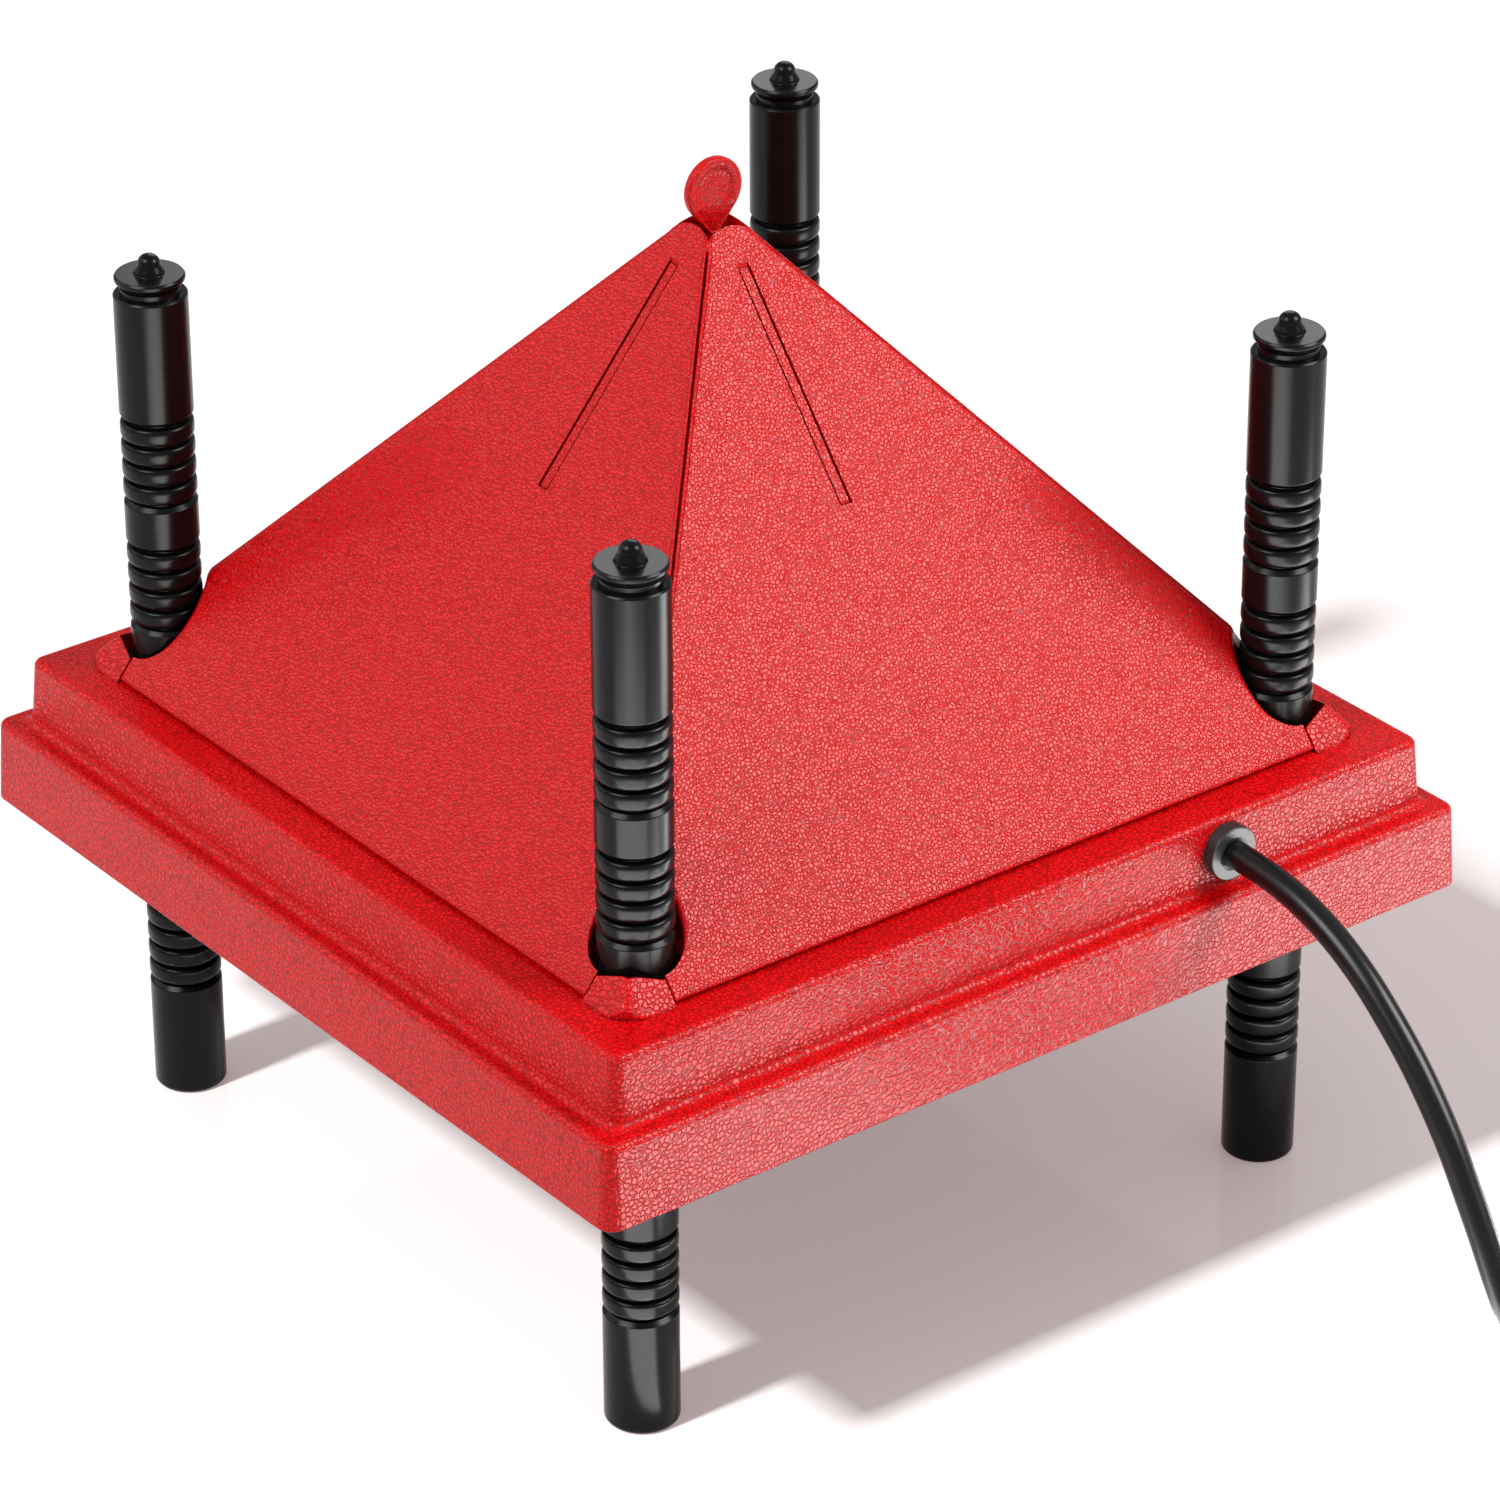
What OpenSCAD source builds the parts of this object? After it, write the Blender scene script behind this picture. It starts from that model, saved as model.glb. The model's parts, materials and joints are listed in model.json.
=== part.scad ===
// Heated brooder plate for chicks.
// A stepped housing stands on four ribbed legs, which slide through its corners to set the height.
// A cover of four sloping panels keeps birds from roosting on top, and lifts straight off.
// Units are millimetres. The floor is z = 0, and the plate is centred on x = 0, y = 0.
// The mains lead leaves the wall that faces -Y. The nearest corner to the viewer is at -X, -Y.

/* [Housing] */
// Width and depth of the housing at its foot
plate_w = 300; // [294:1:312]
// Height of the housing's underside above the floor
plate_rise = 92; // [88:1:96]
// Height of the lower tier
lower_h = 25; // [23:0.5:28]
// Height of the upper tier
upper_h = 20.5; // [20:0.5:24]
// Width of the ledge between the tiers
ledge_w = 6.2; // [5:0.1:7]
// Inward lean of the lower wall over its height
lower_draft = 1.5; // [0.5:0.1:2]
// Inward lean of the upper wall over its height
upper_draft = 1.8; // [0.5:0.1:2]
// Corner radius at the foot of the lower wall
lower_corner_r = 7; // [6.5:0.5:12]
// Corner radius at the foot of the upper wall
upper_corner_r = 6.5; // [6.5:0.5:12]
// Radius of the rounded top edges
edge_r = 2.2; // [1:0.1:2.4]
// Thickness of the moulded walls
wall_t = 2.5; // [2:0.1:2.8]

/* [Cover] */
// Width of the housing's rim outside the cover
cover_margin = 12; // [10:0.5:14]
// Slope of the panels from the floor, in degrees
cover_slope = 50; // [47:0.5:52]
// Gap between the cover's lower edge and the housing
cover_gap = 1.5; // [1:0.1:2.5]
// Thickness of a panel
panel_t = 2.5; // [2:0.1:3]
// Gap between neighbouring panels along a hip
hip_gap = 1; // [1:0.1:2]
// Depth of the turned-in lip along each hip
lip_depth = 8; // [6:0.5:10]
// Radius of the round lift tab
tab_r = 9.2; // [7:0.1:11]
// Thickness of the lift tab
tab_t = 3; // [2:0.1:4]

/* [Legs] */
// Distance of each leg's axis inside the cover's lower edge
leg_inset = 16.9; // [16:0.1:18]
// Outside diameter of a leg
leg_d = 21; // [20:0.1:22]
// Height of the lowest groove above the floor
groove_z = 36.3; // [32:0.1:40]
// Spacing of the grooves in a group
rib_pitch = 6.1; // [5.8:0.1:6.3]
// Spacing of the groups of ribs
group_pitch = 39.1; // [38:0.1:40]
// Depth of a groove
groove_depth = 1.9; // [1.5:0.1:2.1]
// Length of the plain barrel above the top groove
barrel_l = 38; // [34:0.5:44]

/* [Lead] */
// Diameter of the mains lead
cord_d = 8; // [7.6:0.1:8]
// Distance of the lead from the leg beside it
cord_from_leg = 43.6; // [38:0.1:52]
// Height of the lead above the housing's underside
cord_rise = 35.5; // [34.5:0.1:36]
// Outside radius of the lead's grommet
grommet_r = 8; // [7:0.1:8]
// Radius of the outermost turn of the stored lead
coil_r = 57.5; // [56:0.5:60]

/* [Hidden] */
$fn = 64;
// Overrun that takes every cut past its face
cut = 1;
// Clearance of sliding fits, and of parts that drop into place
slide_gap = 0.1;
drop_gap = 0.3;

// Housing
plate_half = plate_w / 2;
lower_top_half = plate_half - lower_draft;
upper_foot_half = lower_top_half - ledge_w;
ledge_z = plate_rise + lower_h;
top_z = ledge_z + upper_h;
ceiling_z = top_z - wall_t;
cover_half = upper_foot_half - upper_draft - cover_margin;
leg_x = cover_half - leg_inset;
corners = [[-1, -1], [1, -1], [1, 1], [-1, 1]];
corner_turn = [225, 315, 45, 135];

// Base pan, below the housing's rim by its recess
pan_recess = 0.5;
pan_t = 3;
pan_z = plate_rise + pan_recess;
pan_top = pan_z + pan_t;
pan_half = plate_half - wall_t - drop_gap;
pan_corner_r = lower_corner_r - wall_t - drop_gap;

// Screws that hold the pan, two on each side
boss_r = 4;
boss_x = upper_foot_half - drop_gap;
boss_share = 0.35;
boss_y = boss_share * plate_half;
screw_r = 1.5;
screw_head_r = 3;
screw_head_h = 1.8;
screw_l = 14;

// Leg profile
leg_r = leg_d / 2;
stem_r = leg_r - groove_depth;
leg_bore_r = 5;
groups = 5;
ribs = 4;
rib_flat = 0.9;
rib_half = (rib_pitch - rib_flat) / 2;
rib_r = (rib_half * rib_half + groove_depth * groove_depth) / (2 * groove_depth);
rib_axis = leg_r - rib_r;
band_chamfer = 1.2;
foot_round = 1.5;
group_l = ribs * rib_pitch;
top_groove_z = groove_z + (groups - 1) * group_pitch + group_l;
barrel_top = top_groove_z + barrel_l;
leg_travel = (top_groove_z - groove_z) / 2;
foot_plug_h = 8;
foot_dish_r = 2;
foot_dish_h = 1;

// Leg cap
cap_spigot_l = 12;
cap_neck_r = 8.8;
cap_neck_h = 1.7;
cap_cone_h = 2.2;
cap_edge_h = 0.9;
cap_bevel = 1.1;
cap_bevel_h = 0.8;
nub_base_r = 5.2;
nub_base_h = 0.7;
nub_r = 3.5;
nub_rise = 2.6;
cap_top = barrel_top + cap_neck_h + cap_cone_h + cap_edge_h + cap_bevel_h;

// Sleeves that guide the legs, and the catches that hold them
sleeve_r = leg_r + slide_gap;
sleeve_out_r = sleeve_r + wall_t;
catch_z = groove_z + leg_travel;
catch_lift = 4;
catch_foot_z = pan_top + catch_lift;
catch_tab_h = 2.5;
catch_top_z = top_z + catch_tab_h;
catch_w = 6;
catch_t = 1.3;
catch_gap = 0.8;
catch_in = leg_r + catch_gap;
catch_anchor_l = 8;
catch_side_gap = 0.5;
catch_free_r = sleeve_out_r + cut;
catch_nose_gap = 0.7;
catch_nose_r = stem_r + catch_nose_gap;
catch_nose_half = 2.1;
catch_tip_half = 0.5;

// Corner lugs, which carry the slopes of the cover on round the legs
lug_gap = 1.5;
lug_in = leg_x + lug_gap / 2;
cover_side = leg_x - lug_gap / 2;
lug_proud = 1.1;
lug_half = cover_half + lug_proud;
lug_corner_r = 10;
lug_face = 12;
lug_bend = 9.2;
lug_pocket_h = 12;
catch_room = 2.7;
lug_pocket_r = catch_in + catch_t + catch_room;
notch_gap = 2.3;
notch_r = leg_r + notch_gap;

// Cover
slope_rise = tan(cover_slope);
cover_z = top_z + cover_gap;
apex_z = cover_z + cover_half * slope_rise;
panel_drop = panel_t / cos(cover_slope);
lip_drop = lip_depth / cos(cover_slope);
lip_t = 2.2;
hip_step = hip_gap / 2 * sqrt(2);
lip_step = lip_t * sqrt(2);
tip_drop = 7;
tip_y = tip_drop / slope_rise;
tip_half = 2.2;
tip_round = 3.2;
lip_top_x = 21;
seam_w = 4.1;
seam_d = 0.8;
seam_shares = [0.1, 0.46];
seam_from = seam_shares[0] * cover_half;
seam_to = seam_shares[1] * cover_half;
gusset_share = 0.48;
gusset_x = gusset_share * cover_half;
gusset_t = 2;
gusset_edge = 6.5;
gusset_w = 14;
gusset_out = cover_half - gusset_edge;
gusset_in = gusset_out - gusset_w;
gusset_bite_share = 0.5;
spline_drop = 4;
spline_h = 7;
hub_h = 14;
hub_drop = 9.2;
neck_half = 2.3;
neck_wide_half = 4;
neck_z = apex_z - tip_drop;
neck_flare = 2;
tab_z = apex_z + 2.2;
tab_rim = 3;
tab_dish = 0.8;
tab_shoulder_half = 7.4;
tab_shoulder_drop = 5.4;

// Heating panel, stacked on the pan
spreader_t = 1;
spreader_margin = 14;
spreader_half = pan_half - spreader_margin;
leg_clear = 17.6;
corner_cut = leg_x - leg_clear;
mat_t = 1;
mat_margin = 5;
mat_half = spreader_half - mat_margin;
pad_t = 10;
pad_margin = 4;
pad_half = mat_half - pad_margin;
trace_t = 0.4;
trace_w = 4;
trace_runs = 11;
trace_margin = 12;
trace_half = corner_cut - trace_margin;
trace_edge = 24;
trace_y = pad_half - trace_edge;
trace_pitch = 2 * trace_y / (trace_runs - 1);
spreader_z = pan_top;
mat_z = spreader_z + spreader_t;
trace_z = mat_z + mat_t;
pad_z = trace_z + trace_t;
pad_top = pad_z + pad_t;

// Thermostat and thermal fuse, in windows of the pad
stat_r = 7.5;
stat_h = 9;
stat_flange_r = 7.9;
stat_flange_h = 1;
stat_tag_w = 4;
stat_tag_t = 0.8;
stat_tag_h = 7;
stat_tag_x = 4;
stat_y = 0;
tag_z = pad_z + stat_h + stat_tag_h;
fuse_r = 2;
fuse_l = 10;
fuse_y = 2 * trace_pitch;
fuse_lead_r = 0.5;
fuse_lead_l = 16;
fuse_half = fuse_l / 2 + fuse_lead_l;
window_gap = 2;

// Grommet
cord_r = cord_d / 2;
cord_x = leg_x - cord_from_leg;
cord_z = plate_rise + cord_rise;
pad_t_more = 1.2;
pad_out_y = upper_foot_half - upper_draft * (cord_z - ledge_z) / upper_h;
pad_in_y = pad_out_y - wall_t - pad_t_more;
grommet_face = 3.6;
grommet_neck_r = 5.5;
grommet_back_r = 7;
grommet_back = 2;
grommet_edge = 0.6;

// Clamp on the lead, inside the wall
clamp_l = 8;
clamp_y = pad_in_y - grommet_back - clamp_l;
clamp_post_r = 4;
clamp_post_x = 11;
clamp_bar_t = 5;
clamp_bar_w = 30;
clamp_bite = 1;
clamp_bar_top = cord_z - cord_r + clamp_bite;
clamp_screw_l = 12;

// Route of the free lead: level through the grommet, then down to the floor.
// Each point is its distance out from the wall, and its height as a share of the whole drop.
cord_sides = 12;
coil_sides = 6;
tie_t = 0.9;
coil_z = tie_t + cord_r;
cord_route = [
    [-22, 1], [-8, 1], [0, 1], [8, 1], [21.5, 0.992], [34.5, 0.969], [46.5, 0.931], [57.5, 0.88],
    [67.5, 0.818], [77, 0.75], [85.5, 0.676], [93.5, 0.595], [100.5, 0.508], [107.5, 0.419],
    [114, 0.331], [121, 0.246], [129, 0.165], [138.5, 0.096], [149.5, 0.043], [161.5, 0.011],
    [171.5, 0], [179.5, 0]
];
cord_path = [
    for (p = cord_route)
        [cord_x, -pad_out_y - p[0], coil_z + p[1] * (cord_z - coil_z)]
];
cord_start = cord_path[0];
cord_end = cord_path[len(cord_path) - 1];

// Terminal block, under the ceiling
block_l = 14;
block_w = 26;
block_h = 13;
block_z = ceiling_z - block_h;
core_r = 1.1;
core_l = 6;
core_pitch = 2.4;
block_y = -cord_start.y - core_l;

// Insulated wires from the block to the thermostat, the fuse and the heater
wire_r = 1.1;
wire_pitch = 7;
wire_z = block_z + block_h / 2;
wire_sides = 8;
wire_bend = 7;

// Stored part of the lead: two layers of turns, wound in below and out above
coil_pitch = 8.6;
coil_turns = 2.375;
coil_steps = 24;
coil_layer = 8.6;
coil_start_l = cord_d;
coil_tail_l = 46;
coil_sweep = coil_turns * 360;
coil_climb = 180;
coil_all = 2 * coil_sweep + coil_climb;
coil_in_r = coil_r - coil_pitch * coil_turns;
coil_centre = cord_end + [coil_r, -coil_start_l, 0];
coil_end_turn = 180 + coil_all;

// Tie round the coil
tie_w = 12;
tie_slack = 0.6;
tie_in = coil_radius(coil_sweep + coil_climb / 2) - cord_r - tie_slack;
tie_out = coil_radius(180) + cord_r;

// Plug, with its blades along the end of the coil
plug_relief_l = 30;
plug_relief_r = 8.5;
plug_body_l = 26;
plug_face_l = 5;
plug_r = coil_z + coil_layer;
plug_edge = 1.5;
plug_waist = 2.6;
blade_w = 6.35;
blade_t = 1.5;
blade_l = 16;
blade_pitch = 12.7;
earth_r = 2.4;
earth_l = 18;
earth_drop = 8;

// Colours
red = [0.82, 0.05, 0.06];
black = [0.03, 0.03, 0.03];
rubber_black = [0.05, 0.05, 0.05];
pan_grey = [0.12, 0.12, 0.13];
metal = [0.75, 0.76, 0.78];
brass = [0.8, 0.66, 0.3];
foam = [0.86, 0.84, 0.78];
orange = [0.75, 0.25, 0.1];
white = [0.9, 0.9, 0.88];
blue = [0.1, 0.25, 0.7];
green = [0.2, 0.55, 0.15];
brown = [0.35, 0.2, 0.1];

// Helpers

// Half section of a wall: leans in by draft over h, with its top edge rounded to round_r
module wall_section(foot_r, h, draft, round_r) {
    slant = norm([h, draft]);
    cz = h - round_r;
    cx = foot_r - draft * cz / h - round_r * slant / h;
    union() {
        polygon([
            [0, 0], [foot_r, 0],
            [cx + round_r * h / slant, cz + round_r * draft / slant],
            [cx, cz], [cx, h], [0, h]
        ]);
        if (round_r > 0)
            translate([cx, cz]) circle(r = round_r);
    }
}

// Square block with drafted walls and rounded corners, standing on z = 0
module tier(half, corner_r, h, draft, round_r) {
    axis = half - corner_r;
    translate([-axis, -axis, 0]) cube([2 * axis, 2 * axis, h]);
    for (i = [0:3])
        rotate([0, 0, 90 * i]) {
            translate([axis, axis, 0])
                rotate([90, 0, 0])
                    linear_extrude(2 * axis) wall_section(corner_r, h, draft, round_r);
            translate([axis, axis, 0])
                rotate_extrude(angle = 90) wall_section(corner_r, h, draft, round_r);
        }
}

// Places children at each leg's axis, with +X pointing out along the diagonal
module at_legs(list = [0, 1, 2, 3]) {
    for (i = list)
        translate([corners[i].x * leg_x, corners[i].y * leg_x, 0])
            rotate([0, 0, corner_turn[i]]) children();
}

// Square plate with its four corners cut back, standing on z
module crossed_plate(z, half, t) {
    translate([0, 0, z])
        linear_extrude(t)
            union() {
                square([2 * half, 2 * corner_cut], center = true);
                square([2 * corner_cut, 2 * half], center = true);
            }
}

// Solid below the cover's four slopes, lowered by drop
module pyramid(drop) {
    reach = apex_z / slope_rise;
    section = [[-reach, -drop], [reach, -drop], [0, apex_z - drop]];
    intersection() {
        rotate([90, 0, 0]) linear_extrude(2 * reach, center = true) polygon(section);
        rotate([90, 0, 90]) linear_extrude(2 * reach, center = true) polygon(section);
    }
}

// Layer under the slope that faces -Y, from its surface down by drop
module slope_layer(drop) {
    foot_z = apex_z - plate_half * slope_rise;
    rotate([90, 0, 90])
        linear_extrude(plate_w, center = true)
            polygon([[-plate_half, foot_z], [0, apex_z], [0, apex_z - drop], [-plate_half, foot_z - drop]]);
}

// Vertical column over a plan outline, from the cover's lower edge up
module cover_column(outline) {
    translate([0, 0, cover_z]) linear_extrude(apex_z - cover_z) polygon(outline);
}

// Tube swept along points
function unit(v) = v / norm(v);
function tangent(p, i) =
    let (last = len(p) - 1)
    i == 0 ? unit(p[1] - p[0])
    : i == last ? unit(p[last] - p[last - 1])
    : unit(unit(p[i + 1] - p[i]) + unit(p[i] - p[i - 1]));
function carried(s, t) = unit(s - (s * t) * t);
function sides_of(p, first) = [
    for (i = 0, s = carried(first, tangent(p, 0));
         i < len(p);
         i = i + 1, s = i < len(p) ? carried(s, tangent(p, i)) : s) s
];
module tube(p, r, n, first) {
    s = sides_of(p, first);
    last = len(p) - 1;
    points = [
        for (i = [0:last], k = [0:n - 1])
            p[i] + r * (cos(360 * k / n) * s[i] + sin(360 * k / n) * cross(tangent(p, i), s[i]))
    ];
    walls = [
        for (i = [0:last - 1], k = [0:n - 1], half = [0, 1])
            let (a = i * n + k, b = i * n + (k + 1) % n)
            half == 0 ? [a, a + n, b] : [b, a + n, b + n]
    ];
    start = [for (k = [0:n - 1]) k];
    end = [for (k = [0:n - 1]) last * n + n - 1 - k];
    polyhedron(points, concat([start], walls, [end]));
}

// Housing

module lug_plan() {
    w = lug_half - lug_in;
    difference() {
        union() {
            translate([lug_in, lug_in]) square([w, w - lug_corner_r]);
            translate([lug_in, lug_in]) square([w - lug_corner_r, w]);
            translate([lug_half - lug_corner_r, lug_half - lug_corner_r]) circle(r = lug_corner_r);
        }
        translate([lug_in, lug_in])
            polygon([[-cut, -cut], [lug_face, -cut], [lug_bend, lug_bend], [-cut, lug_face]]);
    }
}

module lugs() {
    intersection() {
        pyramid(0);
        for (i = [0:3])
            rotate([0, 0, 90 * i])
                translate([0, 0, ceiling_z]) linear_extrude(apex_z - ceiling_z) lug_plan();
    }
}

module cavity() {
    translate([0, 0, plate_rise - cut])
        tier(plate_half - wall_t, lower_corner_r - wall_t, lower_h - wall_t + cut, lower_draft, 0);
    translate([0, 0, ledge_z - wall_t - cut])
        tier(upper_foot_half - wall_t, upper_corner_r - wall_t, upper_h + cut, upper_draft, 0);
}

module pan_screw_places() {
    for (i = [0:3])
        rotate([0, 0, 90 * i])
            for (y = [-boss_y, boss_y])
                translate([boss_x, y, 0]) children();
}

module clamp_posts() {
    for (x = [-clamp_post_x, clamp_post_x])
        translate([cord_x + x, -clamp_y, clamp_bar_top])
            cylinder(r = clamp_post_r, h = top_z - wall_t / 2 - clamp_bar_top);
    saddle_z = cord_z + cord_r;
    translate([cord_x - cord_r, -clamp_y - clamp_l / 2, saddle_z])
        cube([cord_d, clamp_l, top_z - wall_t / 2 - saddle_z]);
}

module catch_slot() {
    snug_h = catch_anchor_l;
    translate([0, -catch_w / 2, catch_foot_z])
        cube([catch_in + catch_t, catch_w, snug_h]);
    free_z = catch_foot_z + snug_h;
    free_w = catch_w + 2 * catch_side_gap;
    translate([0, -free_w / 2, free_z])
        cube([catch_free_r, free_w, ceiling_z - free_z]);
    translate([0, -free_w / 2, ceiling_z - cut])
        cube([lug_pocket_r, free_w, top_z + lug_pocket_h - ceiling_z + cut]);
}

module housing() {
    color(red)
        difference() {
            union() {
                difference() {
                    union() {
                        translate([0, 0, plate_rise])
                            tier(plate_half, lower_corner_r, lower_h, lower_draft, edge_r);
                        translate([0, 0, ledge_z - cut])
                            tier(upper_foot_half, upper_corner_r, upper_h + cut, upper_draft, edge_r);
                        lugs();
                    }
                    cavity();
                }
                at_legs()
                    translate([0, 0, pan_top]) cylinder(r = sleeve_out_r, h = top_z - wall_t / 2 - pan_top);
                pan_screw_places()
                    translate([0, 0, pan_top]) cylinder(r = boss_r, h = ledge_z - wall_t / 2 - pan_top);
                clamp_posts();
                translate([cord_x, -pad_in_y, cord_z])
                    rotate([90, 0, 0]) cylinder(r = grommet_r + drop_gap, h = pad_out_y - pad_in_y);
            }
            at_legs() {
                translate([0, 0, plate_rise]) cylinder(r = sleeve_r, h = apex_z);
                catch_slot();
            }
            pan_screw_places()
                translate([0, 0, pan_top - cut]) cylinder(r = screw_r, h = screw_l + cut);
            translate([cord_x, -pad_out_y, cord_z])
                rotate([90, 0, 0]) cylinder(r = grommet_r + drop_gap, h = ledge_w);
            translate([cord_x, 0, cord_z])
                rotate([90, 0, 0]) cylinder(r = grommet_neck_r, h = plate_half);
            for (x = [-clamp_post_x, clamp_post_x])
                translate([cord_x + x, -clamp_y, clamp_bar_top - cut])
                    cylinder(r = screw_r, h = clamp_screw_l - clamp_bar_t + cut);
        }
}

// Heating panel and wiring

module base_pan() {
    color(pan_grey)
        difference() {
            translate([0, 0, pan_z]) tier(pan_half, pan_corner_r, pan_t, 0, 0);
            at_legs()
                translate([0, 0, pan_z - cut]) cylinder(r = sleeve_r + drop_gap, h = pan_t + 2 * cut);
            pan_screw_places()
                translate([0, 0, pan_z - cut]) {
                    cylinder(r = screw_r + slide_gap, h = pan_t + 2 * cut);
                    cylinder(r = screw_head_r + slide_gap, h = screw_head_h + cut);
                }
        }
}

module base_screws() {
    color(metal)
        pan_screw_places() {
            translate([0, 0, pan_z]) cylinder(r = screw_head_r, h = screw_head_h);
            translate([0, 0, pan_z]) cylinder(r = screw_r, h = screw_l);
        }
}

module heat_spreader() {
    color(metal) crossed_plate(spreader_z, spreader_half, spreader_t);
}

module heater_mat() {
    color(orange) crossed_plate(mat_z, mat_half, mat_t);
}

// Side of the link between trace runs k and k + 1
function link_side(k) = k % 2 == 0 ? 1 : -1;

module heater_trace() {
    link_x = trace_half - trace_w / 2;
    color(brass)
        translate([0, 0, trace_z])
            linear_extrude(trace_t)
                union() {
                    for (k = [0:trace_runs - 1])
                        translate([0, k * trace_pitch - trace_y])
                            square([2 * trace_half, trace_w], center = true);
                    for (k = [0:trace_runs - 2])
                        translate([link_side(k) * link_x, (k + 0.5) * trace_pitch - trace_y])
                            square([trace_w, trace_pitch + trace_w], center = true);
                }
}

module insulation_pad() {
    fuse_slot = [2 * (fuse_half + window_gap), 2 * (fuse_r + window_gap), pad_t + 2 * cut];
    color(foam)
        difference() {
            crossed_plate(pad_z, pad_half, pad_t);
            translate([0, stat_y, pad_z - cut])
                cylinder(r = stat_flange_r + window_gap, h = pad_t + 2 * cut);
            translate([0, fuse_y, pad_z + pad_t / 2]) cube(fuse_slot, center = true);
            for (side = [-1, 1])
                translate(trace_end(side) - [0, 0, cut])
                    cylinder(r = wire_r + window_gap, h = pad_t + 2 * cut);
        }
}

module thermostat() {
    color(white)
        translate([0, stat_y, pad_z]) {
            cylinder(r = stat_flange_r, h = stat_flange_h);
            cylinder(r = stat_r, h = stat_h);
        }
    color(metal)
        for (side = [-1, 1])
            translate(tag(side) - [0, 0, stat_tag_h / 2])
                cube([stat_tag_w, stat_tag_t, stat_tag_h], center = true);
}

module thermal_fuse() {
    color(metal)
        translate([0, fuse_y, pad_z + fuse_r])
            rotate([0, 90, 0]) {
                cylinder(r = fuse_r, h = fuse_l, center = true);
                cylinder(r = fuse_lead_r, h = 2 * fuse_half, center = true);
            }
}

module terminal_block() {
    color(white)
        translate([cord_x - block_w / 2, -block_y, block_z]) cube([block_w, block_l, block_h]);
}

module cord_cores() {
    colours = [brown, blue, green];
    for (k = [-1, 0, 1])
        color(colours[k + 1])
            translate(cord_start + [k * core_pitch, 0, 0])
                rotate([-90, 0, 0]) cylinder(r = core_r, h = core_l);
}

// Route of a wire that rises from one point, crosses above the pad and drops to another
function wire_over(from, to) =
    let (top = max(from.z, to.z, pad_top) + 2 * wire_bend)
    let (way = wire_bend * unit([to.x - from.x, to.y - from.y, 0]))
    [
        from, [from.x, from.y, top - wire_bend], [from.x, from.y, top] + way,
        [to.x, to.y, top] - way, [to.x, to.y, top - wire_bend], to
    ];

// Route of a wire from place k of the block, which it leaves level
function wire_from_block(k, to) =
    let (from = [cord_x + k * wire_pitch, block_l - block_y, wire_z])
    let (turn = [from.x, from.y + 2 * wire_bend, max(to.z, pad_top) + 2 * wire_bend])
    let (way = wire_bend * unit([to.x - turn.x, to.y - turn.y, 0]))
    [
        from, from + [0, wire_bend, 0], turn,
        [to.x, to.y, turn.z] - way, [to.x, to.y, turn.z - wire_bend], to
    ];

module wire(route) {
    tube(route, wire_r, wire_sides, [1, 0, 0]);
}

function tag(side) = [side * stat_tag_x, stat_y, tag_z];
function fuse_end(side) = [side * fuse_half, fuse_y, pad_z + fuse_r + fuse_lead_r];
function trace_end(side) = [side * trace_half, side * trace_y, pad_z];

module lead_live() {
    color(brown) wire(wire_from_block(-1, tag(1)));
}

module lead_link() {
    color(brown) wire(wire_over(tag(-1), fuse_end(1)));
}

module lead_feed() {
    color(brown) wire(wire_over(fuse_end(-1), trace_end(-1)));
}

module lead_neutral() {
    color(blue) wire(wire_from_block(0, trace_end(1)));
}

module lead_earth() {
    color(green) wire(wire_from_block(1, [mat_half + 2 * wire_r, 0, mat_z]));
}

module cord_grommet() {
    color(rubber_black)
        translate([cord_x, 0, cord_z])
            rotate([90, 0, 0])
                rotate_extrude()
                    polygon([
                        [cord_r, pad_in_y - grommet_back], [grommet_back_r, pad_in_y - grommet_back],
                        [grommet_back_r, pad_in_y], [grommet_neck_r, pad_in_y],
                        [grommet_neck_r, pad_out_y], [grommet_r, pad_out_y],
                        [grommet_r, pad_out_y + grommet_face - grommet_edge],
                        [grommet_r - grommet_edge, pad_out_y + grommet_face],
                        [cord_r, pad_out_y + grommet_face]
                    ]);
}

module cord_clamp() {
    color(pan_grey)
        difference() {
            translate([cord_x - clamp_bar_w / 2, -clamp_y - clamp_l / 2, clamp_bar_top - clamp_bar_t])
                cube([clamp_bar_w, clamp_l, clamp_bar_t]);
            translate([cord_x, 0, cord_z]) rotate([90, 0, 0]) cylinder(r = cord_r, h = plate_half);
            for (x = [-clamp_post_x, clamp_post_x])
                translate([cord_x + x, -clamp_y, clamp_bar_top - clamp_bar_t - cut])
                    cylinder(r = screw_r, h = clamp_bar_t + 2 * cut);
        }
}

module clamp_screws() {
    low = clamp_bar_top - clamp_bar_t;
    color(metal)
        for (x = [-clamp_post_x, clamp_post_x])
            translate([cord_x + x, -clamp_y, low]) {
                translate([0, 0, -screw_head_h]) cylinder(r = screw_head_r, h = screw_head_h);
                cylinder(r = screw_r, h = clamp_screw_l);
            }
}

// Legs

module band(z0, z1, low_cut) {
    polygon([
        [0, z0], [leg_r - low_cut, z0], [leg_r, z0 + low_cut],
        [leg_r, z1 - band_chamfer], [leg_r - band_chamfer, z1], [0, z1]
    ]);
}

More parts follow.
